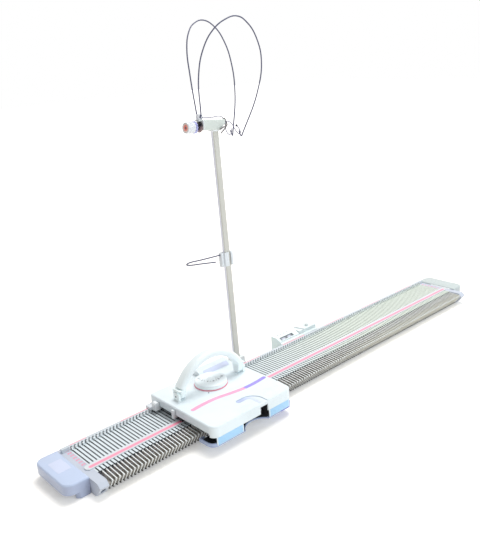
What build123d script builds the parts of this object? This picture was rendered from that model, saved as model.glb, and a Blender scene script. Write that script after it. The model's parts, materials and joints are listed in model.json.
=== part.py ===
from build123d import *
import os
from math import asin, cos, degrees, radians, sin

os.makedirs("parts", exist_ok=True)

# Flat-bed hand knitting machine: 150 needles, hand-pushed carriage, yarn mast and row counter.
# Millimetres. The origin is on the table under the middle of the bed, +X runs along the bed
# to the right, +Y to the back, +Z up.

SIDES = ((-1, "left"), (1, "right"))

# ---------------------------------------------------------------- driving dimensions
# gaps
slide_gap = 0.3            # between pieces that slide past each other
seat_gap = 0.1             # between a loose piece and the pocket that holds it
shaft_gap = 0.06           # radial, shaft in its hole

# small round parts are drawn with flats, to keep the model light
pin_sides = 10
wheel_sides = 18
dial_sides = 30
wire_sides = 6

# needle bed
needle_pitch = 6.5
needle_count = 150
bank_names = ("left", "middle", "right")   # needles are pushed out bank by bank
slot_width = 2.3
slot_depth = 3.5
foot_height = 1.5
base_height = 17.5
base_wall = 3.0
base_rib_count = 11
base_rib = 3.0
channel_height = 7.0       # channel plate, from the deck to the top of its walls
bed_back_y = 65.0
rail_back_y = 58.0
rail_thickness = 6.0
rail_height = 13.0
rail_flange = 3.0
rail_overhang = 12.5       # past the last channel, each end
channel_front_y = -31.0
peg_step = 3.0             # gap between the channel plate and the gate pegs
peg_depth = 29.0
peg_width = 1.8
peg_rise = 1.0             # above the channel walls
peg_proud = 5.0            # in front of the base
peg_drop = 2.5             # the pegs' tops fall to the front
peg_web = 1.6
peg_tip_z = 2.5
sole_front_y = -44.0       # lower front edge of the base

# needles
needle_width = 1.5
needle_height = 2.5
needle_lift = 0.3          # above the channel floor
butt_length = 4.0
butt_rise = 4.6            # above the channel walls
hook_y = -50.0
hook_height = 1.3

# needle retainer strip
strip_back_y = -5.0
strip_depth = 14.0
strip_thickness = 1.6
strip_overhang = 10.0      # past the last channel, each end
strip_corner = 4.0

# ends of the bed
end_plate_length = 16.0
end_plate_corner = 7.0
end_plate_edge = 3.0
socket_radius = 4.5        # table clamp socket
socket_depth = 25.0
socket_z = 11.0
cap_length = 39.5
cap_front_y = -35.0
cap_back_y = 64.0
cap_top_z = 29.0
cap_bottom_z = 11.5
cap_wall = 2.4
cap_corner = 15.0
cap_edge = 2.0
cap_step_y = 59.0          # the cap's top drops behind this line
cap_step = 1.2
cap_foot_length = 21.0
cap_foot_depth = 13.0
cap_foot_corner = 5.0
foot_radius = 8.0

# carriage cover
carriage_x = -231.5        # parked left of the middle
cover_half = 89.5
cover_front_y = -102.0
cover_back_y = 66.5
cover_top_z = 51.0
cover_wall = 2.4
cover_side_z = 37.0        # lower edge of the side walls
cover_end_z = 31.0         # lower edge of the front and back walls
cover_corner = 13.0
cover_back_corner = 3.0
cover_edge = 1.6
notch_x = 22.0             # yarn notch, from the carriage's middle
notch_width = 17.5
notch_height = 13.0
groove_width = 10.0        # where it starts; it opens to the notch's width
groove_depth = 1.4
groove_run = 41.0          # from the notch's right side to the groove's start
groove_reach = 37.5        # from the cover's front to the groove's back edge
groove_outer_bend = 25.0
groove_inner_bend = 8.0
hood_left = 6.0            # raised panel behind the dial, from the carriage's middle
hood_right = 78.0
hood_front_y = 51.0
hood_height = 9.0
hood_slope = 10.0
post_half = 3.5
cover_post_inset = 27.0    # from the cover's sides
post_front_y = -30.0
post_back_y = 46.0

# cam plate under the cover
plate_z = 38.5
plate_thickness = 2.0
plate_inset = 6.0          # inside the cover's sides
plate_front_y = -40.0
plate_back_y = 60.0
cam_z = 31.0               # underside of the cams, just over the needle butts
cam_gap = 4.0              # between the guide cams and the rear levers
pad_y = -14.5
pad_length = 13.0
pad_height = 3.0
glide_y = -25.5
glide_depth = 8.0
glide_length = 30.0
glide_inset = 44.5         # from the cover's sides
raising_cam_half = 26.0
raising_cam_tip = 7.0
raising_cam_front_y = 12.0
stitch_cam_inner = 22.0
stitch_cam_outer = 44.0
stitch_cam_foot = 12.0
stitch_cam_head = 8.0
stitch_cam_front_y = 6.0
stitch_cam_back_y = 34.0
guide_cam_length = 16.0
guide_cam_head = 10.0
guide_cam_front_y = 24.0
cam_back_y = 42.0

# stitch dial
dial_x = 5.5               # from the carriage's middle
dial_y = 14.5
dial_radius = 29.0
dial_ring_radius = 30.0
dial_ring_height = 1.5
dial_height = 7.5
dial_edge = 2.0
dial_shaft_radius = 4.0

# handle
pivot_y = 11.0
pivot_lift = 8.0           # above the cover
handle_x = 2.0             # handle's middle, from the carriage's middle
handle_inset = 24.5        # middle of a lug, from the cover's side
handle_splay = 4.0         # the grip's middle line is wider than the lugs at pivot height
handle_rise = 53.0         # grip's middle line above its pivots
grip_width = 20.0
grip_thickness = 13.0
grip_edge = 3.5
handle_runs = 14           # straight runs that make up the arch
lug_radius = 7.4
lug_thickness = 11.0
lug_height = 12.0
ear_thickness = 5.5
ear_gap = 0.3
lug_relief = 8.4           # radius kept free over an ear
pin_radius = 3.0
pin_head_radius = 4.5
pin_head_height = 1.5

# carriage levers and shoes
shoe_out = 14.0            # how far a rail shoe reaches outside the cover
shoe_length = 31.0
shoe_wall = 3.4
shoe_leg_z = 28.0
shoe_top_z = 36.5
lever_gap = 1.0            # between a lever and the cover's side
lever_z = 31.6             # underside of the lever arms
lever_arm_height = 4.6
lever_arm_length = 20.0
side_lever_y = -3.0
side_lever_width = 5.0
side_lever_height = 15.5
side_lever_thickness = 4.0
rear_lever_y = 43.0
rear_lever_width = 10.0
rear_lever_height = 14.0
rear_lever_thickness = 9.0

# sinker plate and what it carries
blade_gap = 59.0           # between the front plates
blade_gap_x = 4.0          # its middle, from the carriage's middle
blade_inset = 7.0          # inside the cover's sides
blade_z = 17.0             # lower edge
blade_thickness = 1.6
tray_overhang = 3.0        # past the cover's sides
tray_back_y = -68.0
tray_thickness = 2.0
tray_corner = 14.0
tray_rim = 4.5
tray_rim_width = 2.0
scallop_radius = 31.0
scallop_out = 16.0         # its centre, in front of the tray
scallop_x = 4.5
brush_inset = 31.0         # from the cover's sides
brush_y = -82.0
brush_radius = 8.5
brush_height = 3.0
brush_points = 12
brush_pin_radius = 1.6
feeder_y = -88.0
feeder_radius = 5.0
feeder_bore = 2.5
feeder_z = 29.0
feeder_height = 4.0
feeder_stem = 4.0

# row counter
counter_x = 6.0            # its left end
counter_length = 110.0
counter_slope_length = 58.0
counter_front_y = 69.5
counter_back_y = 95.5
counter_z = 8.0
counter_top_z = 37.0
counter_lip_z = 32.0       # front edge of the sloping face
counter_slope_depth = 11.0
counter_foot_z = 28.0      # the foot reaches forward to the bed below this height
window_x = 6.0             # from the counter's left end
window_length = 38.0
window_height = 8.0
lens_thickness = 1.0
wheel_radius = 8.0
wheel_width = 12.0
wheel_gap = 5.0
wheel_clear = 1.0
wheel_y = 80.0
wheel_z = 25.5
spindle_radius = 1.5
button_inset = 19.0        # from the counter's right end
button_y = 79.0
button_radius = 4.0
button_rise = 2.4
button_stem = 2.0
button_travel = 1.8
trip_inset = 38.0          # from the counter's right end
trip_pivot_y = 88.0
trip_thickness = 1.8
trip_half_width = 7.0
trip_pin_radius = 1.5
trip_clear = 0.8           # between the trip lever and the carriage

# yarn mast
mast_x = -108.5
mast_y = 76.0              # where the mast's axis meets the holder's floor
mast_lean = 2.5            # degrees, to the back
mast_width = 14.0
mast_thickness = 8.0
mast_length = 474.0
mast_edge = 1.8
holder_width = 26.0
holder_back_y = 87.0
holder_z = 4.0
holder_top_z = 40.0
holder_floor = 5.0
holder_lip_z = 29.0
holder_lip_y = 67.5        # front of the holder above the lip, behind the carriage's path

# clip guide on the mast
clip_height = 26.0
clip_at = 217.0            # up the mast, from its foot
clip_wall = 3.0
clip_mouth = 5.0           # opening in front, right of the mast's middle
clip_mouth_x = 2.5
clip_pad_length = 6.0      # carries the wire, on the clip's left side
guide_reach = 76.0
guide_rise = 3.4
guide_return = 65.0
guide_drop = 10.7
guide_wire_radius = 0.9
guide_bend = 1.8

# tension unit on top of the mast
head_tilt = 4.0            # degrees, its right end drops
body_left = 30.8           # from the mast's axis
body_right = 20.0
body_depth = 17.0
body_half_height = 9.0
body_taper_x = 12.0
body_taper_z = 10.0
body_edge = 1.6
collar_height = 2.0
collar_wall = 2.5
ledge_length = 8.2
ledge_thickness = 2.0
ledge_width = 12.0
spindle_drop = 3.0         # spindle below the middle of the body
unit_spindle_radius = 2.5
unit_spindle_seat = 8.0
spacer_radius = 4.5
spacer_length = 1.5
disc_radius = 9.3
disc_thickness = 1.2
disc_gap = 0.5
spring_length = 7.5
spring_radius = 4.4        # to the middle of its wire
spring_wire = 1.1
spring_coils = 4
spring_runs = 6            # straight runs in a turn
ring_radius = 10.4
ring_root_radius = 9.4
ring_thickness = 4.5
ring_teeth = 12
tooth_width = 2.2
knob_radius = 10.0
knob_length = 16.2
knob_edge = 1.5
knob_dish_radius = 6.5
knob_dish_depth = 1.0
post_length = 9.0
post_width = 9.0
post_height = 10.0
post_inset = 2.0           # post from the ledge's left end
eye_radius = 2.6
eye_width = 1.5
eye_pin_radius = 1.1
takeup_wire_radius = 0.8
yarn_hook_radius = 1.0
hook_root_z = 5.0          # above the unit's middle

# ---------------------------------------------------------------- worked out from those
bed_half = needle_pitch * needle_count / 2
deck_z = foot_height + base_height
surface_z = deck_z + channel_height
rail_top_z = deck_z + rail_height
rail_front_y = rail_back_y - rail_thickness
peg_back_y = channel_front_y - peg_step
peg_front_y = peg_back_y - peg_depth
peg_top_z = surface_z + peg_rise
deck_front_y = peg_front_y + peg_proud
slope_run = (sole_front_y - deck_front_y) / base_height
tip_y = sole_front_y - slope_run * (peg_tip_z - foot_height)
rail_half = bed_half + rail_overhang
end_half = bed_half + end_plate_length
butt_top_z = surface_z + butt_rise
butt_back_y = rail_front_y - slide_gap
needle_z = surface_z - slot_depth + needle_lift
plate_top_z = plate_z + plate_thickness
plate_half = cover_half - plate_inset
cover_post_x = cover_half - cover_post_inset
guide_cam_end = cover_half + lever_gap - lever_arm_length - cam_gap
glide_x = cover_half - glide_inset
handle_middle = carriage_x + handle_x
handle_half = cover_half - handle_inset
handle_arch_half = handle_half + handle_splay
notch_left = carriage_x + notch_x - notch_width / 2
notch_right = carriage_x + notch_x + notch_width / 2
blade_outer = cover_half - blade_inset
tray_half = cover_half + tray_overhang
brush_x = cover_half - brush_inset
button_x = counter_length - button_inset
trip_x = counter_length - trip_inset
pivot_z = cover_top_z + pivot_lift
cover_ceiling_z = cover_top_z - cover_wall
rib_pitch = (2 * bed_half - base_rib) / (base_rib_count - 1)
foot_x = (base_rib_count // 2 - 1) * rib_pitch    # under the last rib but one
foot_front_y = sole_front_y + foot_radius
foot_back_y = bed_back_y - foot_radius


# ---------------------------------------------------------------- needle bed
with BuildPart() as bed_base:
    with BuildSketch(Plane.YZ):
        with BuildLine():
            Polyline(
                (sole_front_y, foot_height),
                (deck_front_y, deck_z),
                (bed_back_y, deck_z),
                (bed_back_y, foot_height),
                close=True,
            )
        make_face()
    extrude(amount=bed_half, both=True)
    pocket_front_y = sole_front_y + base_wall
    pocket_back_y = bed_back_y - base_wall
    with BuildSketch(Plane.XY.offset(foot_height)):
        with Locations((0, (pocket_front_y + pocket_back_y) / 2)):
            with GridLocations(rib_pitch, 0, base_rib_count - 1, 1):
                Rectangle(rib_pitch - base_rib, pocket_back_y - pocket_front_y)
    extrude(amount=base_height - base_wall, mode=Mode.SUBTRACT)
bed_base.part.label = "bed_base"
export_step(bed_base.part, "parts/bed_base.step")

with BuildPart() as rubber_feet:
    with BuildSketch():
        for foot_y in (foot_front_y, foot_back_y):
            with Locations((-foot_x, foot_y), (foot_x, foot_y)):
                RegularPolygon(foot_radius, pin_sides)
        RegularPolygon(foot_radius, pin_sides)
    extrude(amount=foot_height)
rubber_feet.part.label = "rubber_feet"
export_step(rubber_feet.part, "parts/rubber_feet.step")

# Open channels, one for each needle, between walls that carry the carriage's glides.
with BuildPart() as channel_plate:
    with BuildSketch(Plane.XZ.offset(-rail_front_y)):
        with Locations((0, (deck_z + surface_z) / 2)):
            Rectangle(2 * bed_half, channel_height)
        with Locations((0, surface_z - slot_depth / 2)):
            with GridLocations(needle_pitch, 0, needle_count, 1):
                Rectangle(slot_width, slot_depth, mode=Mode.SUBTRACT)
    extrude(amount=rail_front_y - channel_front_y)
channel_plate.part.label = "channel_plate"
export_step(channel_plate.part, "parts/channel_plate.step")

# Gate pegs stand between the needles, bend over the front edge and run down the base's slope.
with BuildPart() as gate_pegs:
    with BuildSketch(Plane.YZ):
        with BuildLine():
            Polyline(
                (peg_back_y, deck_z),
                (peg_back_y, deck_z + peg_web),
                (deck_front_y - peg_web, deck_z + peg_web),
                (tip_y - peg_web, peg_tip_z),
                (tip_y, peg_tip_z),
                (deck_front_y, deck_z),
                close=True,
            )
        make_face()
    extrude(amount=bed_half, both=True)
    peg_planes = [
        Plane.YZ.offset((i - needle_count / 2) * needle_pitch - peg_width / 2)
        for i in range(1, needle_count)
    ]
    with BuildSketch(*peg_planes):
        with BuildLine():
            Polyline(
                (peg_back_y, deck_z),
                (peg_back_y, peg_top_z),
                (peg_front_y, peg_top_z - peg_drop),
                (tip_y - peg_proud, peg_tip_z),
                (tip_y, peg_tip_z),
                (deck_front_y, deck_z),
                close=True,
            )
        make_face()
    extrude(amount=peg_width)
gate_pegs.part.label = "gate_pegs"
export_step(gate_pegs.part, "parts/gate_pegs.step")

with BuildPart() as needle_retainer:
    with BuildSketch(Plane.XY.offset(surface_z)):
        with Locations((0, strip_back_y - strip_depth / 2)):
            strip_plan = Rectangle(2 * (bed_half + strip_overhang), strip_depth)
        chamfer(strip_plan.vertices(), strip_corner)
    extrude(amount=strip_thickness)
needle_retainer.part.label = "needle_retainer"
export_step(needle_retainer.part, "parts/needle_retainer.step")

with BuildPart() as back_rail:
    with BuildSketch(Plane.YZ):
        with BuildLine():
            Polyline(
                (rail_front_y, deck_z),
                (rail_front_y, surface_z),
                (rail_back_y, surface_z),
                (rail_back_y, deck_z + rail_flange),
                (bed_back_y, deck_z + rail_flange),
                (bed_back_y, deck_z),
                close=True,
            )
        make_face()
    extrude(amount=bed_half, both=True)
    with BuildSketch(Plane.XY.offset(surface_z)):
        with Locations((0, (rail_front_y + rail_back_y) / 2)):
            Rectangle(2 * rail_half, rail_thickness)
    extrude(amount=rail_top_z - surface_z)
back_rail.part.label = "back_rail"
export_step(back_rail.part, "parts/back_rail.step")

# Each bank is a third of the needles: a flat stem in its channel, a butt at the tail that the
# cams push, and a hook at the front between two gate pegs.
bank_size = needle_count // len(bank_names)
for bank, bank_name in enumerate(bank_names):
    first = bank * bank_size
    needle_planes = [
        Plane.YZ.offset((i - (needle_count - 1) / 2) * needle_pitch - needle_width / 2)
        for i in range(first, first + bank_size)
    ]
    with BuildPart() as needles:
        with BuildSketch(*needle_planes):
            with BuildLine():
                Polyline(
                    (butt_back_y, needle_z),
                    (butt_back_y, butt_top_z),
                    (butt_back_y - butt_length, butt_top_z),
                    (butt_back_y - butt_length, needle_z + needle_height),
                    (hook_y, needle_z + hook_height),
                    (hook_y, needle_z),
                    close=True,
                )
            make_face()
        extrude(amount=needle_width)
    needles.part.label = f"needles_{bank_name}"
    export_step(needles.part, f"parts/needles_{bank_name}.step")

# ---------------------------------------------------------------- ends of the bed
for side, side_name in SIDES:
    end_plate_x = side * (bed_half + end_plate_length / 2)
    with BuildPart() as end_plate:
        with BuildSketch(Plane.YZ.offset(end_plate_x)) as side_view:
            with BuildLine():
                Polyline(
                    (sole_front_y - peg_proud, 0),
                    (peg_front_y, surface_z - end_plate_corner),
                    (peg_front_y + end_plate_corner, surface_z),
                    (bed_back_y, surface_z),
                    (bed_back_y, 0),
                    close=True,
                )
            make_face()
            chamfer(side_view.vertices().sort_by(Axis.Y)[0:2], end_plate_edge)
        extrude(amount=end_plate_length / 2, both=True)
        with BuildSketch(Plane.XZ.offset(-peg_front_y - socket_depth)):
            with Locations((end_plate_x, socket_z)):
                Circle(socket_radius)
        extrude(amount=2 * socket_depth, mode=Mode.SUBTRACT)
    end_plate.part.label = f"end_plate_{side_name}"
    export_step(end_plate.part, f"parts/end_plate_{side_name}.step")

    cap_x = side * (end_half + cap_length / 2)
    cap_middle_y = (cap_front_y + cap_back_y) / 2
    cap_depth = cap_back_y - cap_front_y
    outer = Axis.X if side > 0 else -Axis.X
    with BuildPart() as end_cap:
        with BuildSketch(Plane.XY.offset(cap_bottom_z)) as plan:
            with Locations((cap_x, cap_middle_y)):
                Rectangle(cap_length, cap_depth)
            fillet(plan.vertices().group_by(outer)[-1], cap_corner)
        extrude(amount=cap_top_z - cap_bottom_z)
        chamfer(end_cap.faces().sort_by(Axis.Z)[-1].edges(), cap_edge)
        with BuildSketch(Plane.XY.offset(cap_bottom_z)) as hollow:
            with Locations((cap_x - side * cap_wall, cap_middle_y)):
                Rectangle(cap_length, cap_depth - 2 * cap_wall)
            chamfer(hollow.vertices().group_by(outer)[-1], cap_corner - cap_wall)
        extrude(amount=cap_top_z - cap_bottom_z - cap_wall, mode=Mode.SUBTRACT)
        with BuildSketch(Plane.XY.offset(cap_top_z - cap_step)):
            with Locations((cap_x, (cap_step_y + cap_back_y) / 2)):
                Rectangle(cap_length, cap_back_y - cap_step_y)
        extrude(amount=cap_step, mode=Mode.SUBTRACT)
        with BuildSketch() as foot_plan:
            with Locations((side * (end_half + cap_foot_length / 2 + 1), cap_front_y + cap_foot_depth / 2)):
                Rectangle(cap_foot_length, cap_foot_depth)
            chamfer(foot_plan.vertices().group_by(outer)[-1], cap_foot_corner)
        extrude(amount=cap_top_z - cap_wall)
    end_cap.part.label = f"end_cap_{side_name}"
    export_step(end_cap.part, f"parts/end_cap_{side_name}.step")

# ---------------------------------------------------------------- carriage cover
cover_middle_y = (cover_front_y + cover_back_y) / 2
cover_depth = cover_back_y - cover_front_y
with BuildPart() as carriage_cover:
    with BuildSketch(Plane.XY.offset(cover_end_z)) as plan:
        with Locations((carriage_x, cover_middle_y)):
            Rectangle(2 * cover_half, cover_depth)
        fillet(plan.vertices().group_by(Axis.Y)[0], cover_corner)
        chamfer(plan.vertices().group_by(Axis.Y)[-1], cover_back_corner)
    extrude(amount=cover_top_z - cover_end_z)
    chamfer(carriage_cover.faces().sort_by(Axis.Z)[-1].edges(), cover_edge)
    # raised panel with a sloping front
    with BuildSketch(Plane.YZ.offset(carriage_x + (hood_left + hood_right) / 2)):
        with BuildLine():
            Polyline(
                (hood_front_y - hood_slope, cover_top_z - cover_edge),
                (hood_front_y - hood_slope, cover_top_z),
                (hood_front_y, cover_top_z + hood_height),
                (cover_back_y - cover_edge, cover_top_z + hood_height),
                (cover_back_y, cover_top_z + hood_height - cover_edge),
                (cover_back_y, cover_top_z - cover_edge),
                close=True,
            )
        make_face()
    extrude(amount=(hood_right - hood_left) / 2, both=True)
    # the panel's front curves round the dial
    with BuildSketch(Plane.XY.offset(cover_top_z)):
        with Locations((carriage_x + dial_x, dial_y)):
            Circle(dial_ring_radius + 1)
    extrude(amount=2 * hood_height, mode=Mode.SUBTRACT)
    # hollow underside
    with BuildSketch(Plane.XY.offset(cover_end_z)) as hollow:
        with Locations((carriage_x, cover_middle_y)):
            Rectangle(2 * (cover_half - cover_wall), cover_depth - 2 * cover_wall)
        chamfer(hollow.vertices().group_by(Axis.Y)[0], cover_corner - cover_wall)
    extrude(amount=cover_ceiling_z - cover_end_z, mode=Mode.SUBTRACT)
    # the side walls stop higher than the ends, to clear the levers and the rail
    side_cut_front_y = cover_front_y + cover_corner - cover_wall
    side_cut_back_y = cover_back_y - cover_wall
    with BuildSketch(Plane.XY.offset(cover_end_z)):
        with Locations((carriage_x, (side_cut_front_y + side_cut_back_y) / 2)):
            Rectangle(2 * cover_half, side_cut_back_y - side_cut_front_y)
    extrude(amount=cover_side_z - cover_end_z, mode=Mode.SUBTRACT)
    # yarn notch through the front wall
    with BuildSketch(Plane.XY.offset(cover_end_z)):
        with Locations((carriage_x + notch_x, cover_front_y)):
            Rectangle(notch_width, 4 * cover_wall)
    extrude(amount=notch_height, mode=Mode.SUBTRACT)
    # groove that leads the yarn round to the notch
    groove_back_y = cover_front_y + groove_reach
    groove_near_y = groove_back_y - groove_width
    groove_left = notch_right - groove_run + groove_width / 2
    with BuildSketch(Plane.XY.offset(cover_top_z)):
        with BuildLine():
            back_edge = Line((groove_left, groove_back_y), (notch_right - groove_outer_bend, groove_back_y))
            outer_bend = JernArc(back_edge @ 1, (1, 0), groove_outer_bend, -90)
            Polyline(
                outer_bend @ 1,
                (notch_right, cover_front_y),
                (notch_left, cover_front_y),
                (notch_left, groove_near_y - groove_inner_bend),
            )
            inner_bend = JernArc((notch_left, groove_near_y - groove_inner_bend), (0, 1), groove_inner_bend, 90)
            near_edge = Line(inner_bend @ 1, (groove_left, groove_near_y))
            JernArc(near_edge @ 1, (-1, 0), groove_width / 2, -180)
        make_face()
    extrude(amount=-groove_depth, mode=Mode.SUBTRACT)
    # posts down to the cam plate
    with BuildSketch(Plane.XY.offset(plate_top_z)):
        for post_y in (post_front_y, post_back_y):
            with Locations((carriage_x - cover_post_x, post_y), (carriage_x + cover_post_x, post_y)):
                Rectangle(2 * post_half, 2 * post_half)
    extrude(amount=cover_ceiling_z - plate_top_z)
    with BuildSketch(Plane.XY.offset(cover_top_z)):
        with Locations((carriage_x + dial_x, dial_y)):
            RegularPolygon(dial_shaft_radius + shaft_gap, pin_sides, major_radius=False)
    extrude(amount=-cover_wall, mode=Mode.SUBTRACT)
carriage_cover.part.label = "carriage_cover"
export_step(carriage_cover.part, "parts/carriage_cover.step")

# ---------------------------------------------------------------- cam plate and cams
with BuildPart() as cam_plate:
    with BuildSketch(Plane.XY.offset(plate_z)):
        with Locations((carriage_x, (plate_front_y + plate_back_y) / 2)):
            Rectangle(2 * plate_half, plate_back_y - plate_front_y)
        with Locations((carriage_x + dial_x, dial_y)):
            RegularPolygon(
                dial_shaft_radius + shaft_gap, pin_sides, major_radius=False, mode=Mode.SUBTRACT
            )
    extrude(amount=plate_thickness)
    # turned-down ends with pads under the cover's side walls
    with BuildSketch(Plane.XY.offset(cam_z)):
        with Locations((carriage_x - plate_half + 2, pad_y), (carriage_x + plate_half - 2, pad_y)):
            Rectangle(4, pad_length)
    extrude(amount=plate_z - cam_z)
    with BuildSketch(Plane.XY.offset(cam_z)):
        with Locations((carriage_x, pad_y)):
            Rectangle(2 * cover_half - 1, pad_length)
            Rectangle(2 * plate_half - 8, pad_length, mode=Mode.SUBTRACT)
    extrude(amount=pad_height)
cam_plate.part.label = "cam_plate"
export_step(cam_plate.part, "parts/cam_plate.step")

with BuildPart() as cams:
    with BuildSketch(Plane.XY.offset(cam_z)):
        # raising cam in the middle
        with BuildLine():
            Polyline(
                (carriage_x - raising_cam_half, cam_back_y),
                (carriage_x - raising_cam_tip, raising_cam_front_y),
                (carriage_x + raising_cam_tip, raising_cam_front_y),
                (carriage_x + raising_cam_half, cam_back_y),
                close=True,
            )
        make_face()
        # stitch cams and guide cams, one of each on either side
        for side in (-1, 1):
            with BuildLine():
                Polyline(
                    (carriage_x + side * stitch_cam_inner, stitch_cam_front_y),
                    (carriage_x + side * (stitch_cam_outer - stitch_cam_head), stitch_cam_back_y),
                    (carriage_x + side * stitch_cam_outer, stitch_cam_back_y),
                    (carriage_x + side * (stitch_cam_inner + stitch_cam_foot), stitch_cam_front_y),
                    close=True,
                )
            make_face()
            with BuildLine():
                Polyline(
                    (carriage_x + side * (guide_cam_end - guide_cam_length), guide_cam_front_y),
                    (carriage_x + side * (guide_cam_end - guide_cam_head), cam_back_y),
                    (carriage_x + side * guide_cam_end, cam_back_y),
                    (carriage_x + side * guide_cam_end, guide_cam_front_y),
                    close=True,
                )
            make_face()
    extrude(amount=plate_z - cam_z)
cams.part.label = "cams"
export_step(cams.part, "parts/cams.step")

with BuildPart() as carriage_glides:
    with BuildSketch(Plane.XY.offset(surface_z + slide_gap)):
        with Locations((carriage_x - glide_x, glide_y), (carriage_x + glide_x, glide_y)):
            Rectangle(glide_length, glide_depth)
    extrude(amount=plate_z - surface_z - slide_gap)
    chamfer(carriage_glides.edges().filter_by(Axis.Z), glide_depth / 4)
carriage_glides.part.label = "carriage_glides"
export_step(carriage_glides.part, "parts/carriage_glides.step")

# ---------------------------------------------------------------- rail shoes and levers
for side, side_name in SIDES:
    shoe_end = cover_half + shoe_out
    shoe_x = carriage_x + side * (shoe_end - shoe_length / 2)
    rail_clear_front_y = rail_front_y - slide_gap
    rail_clear_back_y = rail_back_y + slide_gap
    with BuildPart() as rail_shoe:
        with BuildSketch(Plane.YZ.offset(shoe_x)):
            with BuildLine():
                Polyline(
                    (rail_clear_front_y - shoe_wall, cam_z),
                    (rail_clear_front_y - shoe_wall, shoe_top_z),
                    (rail_clear_back_y + shoe_wall, shoe_top_z),
                    (rail_clear_back_y + shoe_wall, shoe_leg_z),
                    (rail_clear_back_y, shoe_leg_z),
                    (rail_clear_back_y, rail_top_z + slide_gap),
                    (rail_clear_front_y, rail_top_z + slide_gap),
                    (rail_clear_front_y, cam_z),
                    close=True,
                )
            make_face()
        extrude(amount=shoe_length / 2, both=True)
        # boss up to the cam plate, inside the cover
        boss_back_y = plate_back_y
        boss_front_y = rail_clear_front_y - shoe_wall
        with BuildSketch(Plane.XY.offset(shoe_top_z)):
            with Locations((carriage_x + side * (plate_half - 5), (boss_front_y + boss_back_y) / 2)):
                Rectangle(10, boss_back_y - boss_front_y)
        extrude(amount=plate_z - shoe_top_z)
    rail_shoe.part.label = f"rail_shoe_{side_name}"
    export_step(rail_shoe.part, f"parts/rail_shoe_{side_name}.step")

    levers = (
        ("side_lever", side_lever_y, side_lever_width, side_lever_height, side_lever_thickness),
        ("rear_lever", rear_lever_y, rear_lever_width, rear_lever_height, rear_lever_thickness),
    )
    for lever_name, lever_y, lever_width, lever_height, lever_thickness in levers:
        knob_x = carriage_x + side * (cover_half + lever_gap + lever_thickness / 2)
        arm_x = carriage_x + side * (cover_half + lever_gap - lever_arm_length / 2)
        with BuildPart() as lever:
            with BuildSketch(Plane.XY.offset(lever_z)):
                with Locations((knob_x, lever_y)):
                    Rectangle(lever_thickness, lever_width)
            extrude(amount=lever_height)
            chamfer(lever.edges().filter_by(Axis.Y).group_by(Axis.Z)[-1], lever_thickness / 5)
            with BuildSketch(Plane.XY.offset(lever_z)):
                with Locations((arm_x, lever_y)):
                    Rectangle(lever_arm_length, lever_width - 2)
            extrude(amount=lever_arm_height)
        lever.part.label = f"{lever_name}_{side_name}"
        export_step(lever.part, f"parts/{lever_name}_{side_name}.step")

# ---------------------------------------------------------------- stitch dial
with BuildPart() as dial_ring:
    with BuildSketch(Plane.XY.offset(cover_top_z)):
        with Locations((carriage_x + dial_x, dial_y)):
            RegularPolygon(dial_ring_radius, dial_sides)
            RegularPolygon(
                dial_shaft_radius + shaft_gap, pin_sides, major_radius=False, mode=Mode.SUBTRACT
            )
    extrude(amount=dial_ring_height)
dial_ring.part.label = "dial_ring"
export_step(dial_ring.part, "parts/dial_ring.step")

dial_foot_z = cover_top_z + dial_ring_height + slide_gap
with BuildPart() as stitch_dial:
    with BuildSketch(Plane.XY.offset(dial_foot_z)):
        with Locations((carriage_x + dial_x, dial_y)):
            RegularPolygon(dial_radius, dial_sides)
    extrude(amount=dial_height)
    chamfer(stitch_dial.faces().sort_by(Axis.Z)[-1].edges(), dial_edge, 2 * dial_edge)
    with BuildSketch(Plane.XY.offset(dial_foot_z)):
        with Locations((carriage_x + dial_x, dial_y)):
            RegularPolygon(dial_shaft_radius, pin_sides)
    extrude(amount=plate_z + slide_gap - dial_foot_z)
stitch_dial.part.label = "stitch_dial"
export_step(stitch_dial.part, "parts/stitch_dial.step")

# ---------------------------------------------------------------- handle
arch_radius = (handle_arch_half**2 + handle_rise**2) / (2 * handle_rise)
arch_z = pivot_z + handle_rise - arch_radius
arch_sweep = degrees(asin(handle_arch_half / arch_radius)) - degrees(lug_relief / arch_radius)
ear_inner = handle_half + lug_thickness / 2 + ear_gap
with BuildPart() as handle:
    with BuildLine() as arch:
        arch_angles = [arch_sweep * (2 * run / handle_runs - 1) for run in range(handle_runs + 1)]
        Polyline(
            *[
                (
                    handle_middle + arch_radius * sin(radians(angle)),
                    pivot_y,
                    arch_z + arch_radius * cos(radians(angle)),
                )
                for angle in arch_angles
            ]
        )
    with BuildSketch(Plane(origin=arch.line @ 0, x_dir=(0, 1, 0), z_dir=arch.line % 0)):
        grip = Rectangle(grip_width, grip_thickness)
        chamfer(grip.vertices(), grip_edge)
    sweep(transition=Transition.RIGHT)
    # free space over the ears, round the pivots
    for side in (-1, 1):
        with BuildSketch(Plane.YZ.offset(handle_middle + side * (ear_inner - ear_gap))):
            with Locations((pivot_y, pivot_z)):
                RegularPolygon(lug_relief, pin_sides, major_radius=False)
        extrude(amount=side * 2 * lug_thickness, mode=Mode.SUBTRACT)
    lug_planes = [Plane.YZ.offset(handle_middle + side * handle_half) for side in (-1, 1)]
    with BuildSketch(*lug_planes):
        with Locations((pivot_y, pivot_z)):
            RegularPolygon(lug_radius, pin_sides)
        with Locations((pivot_y, pivot_z + lug_height / 2)):
            Rectangle(2 * lug_radius, lug_height)
    extrude(amount=lug_thickness / 2, both=True)
    with BuildSketch(*lug_planes):
        with Locations((pivot_y, pivot_z)):
            RegularPolygon(pin_radius + shaft_gap, pin_sides, major_radius=False)
    extrude(amount=lug_thickness, both=True, mode=Mode.SUBTRACT)
handle.part.label = "handle"
export_step(handle.part, "parts/handle.step")

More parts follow.
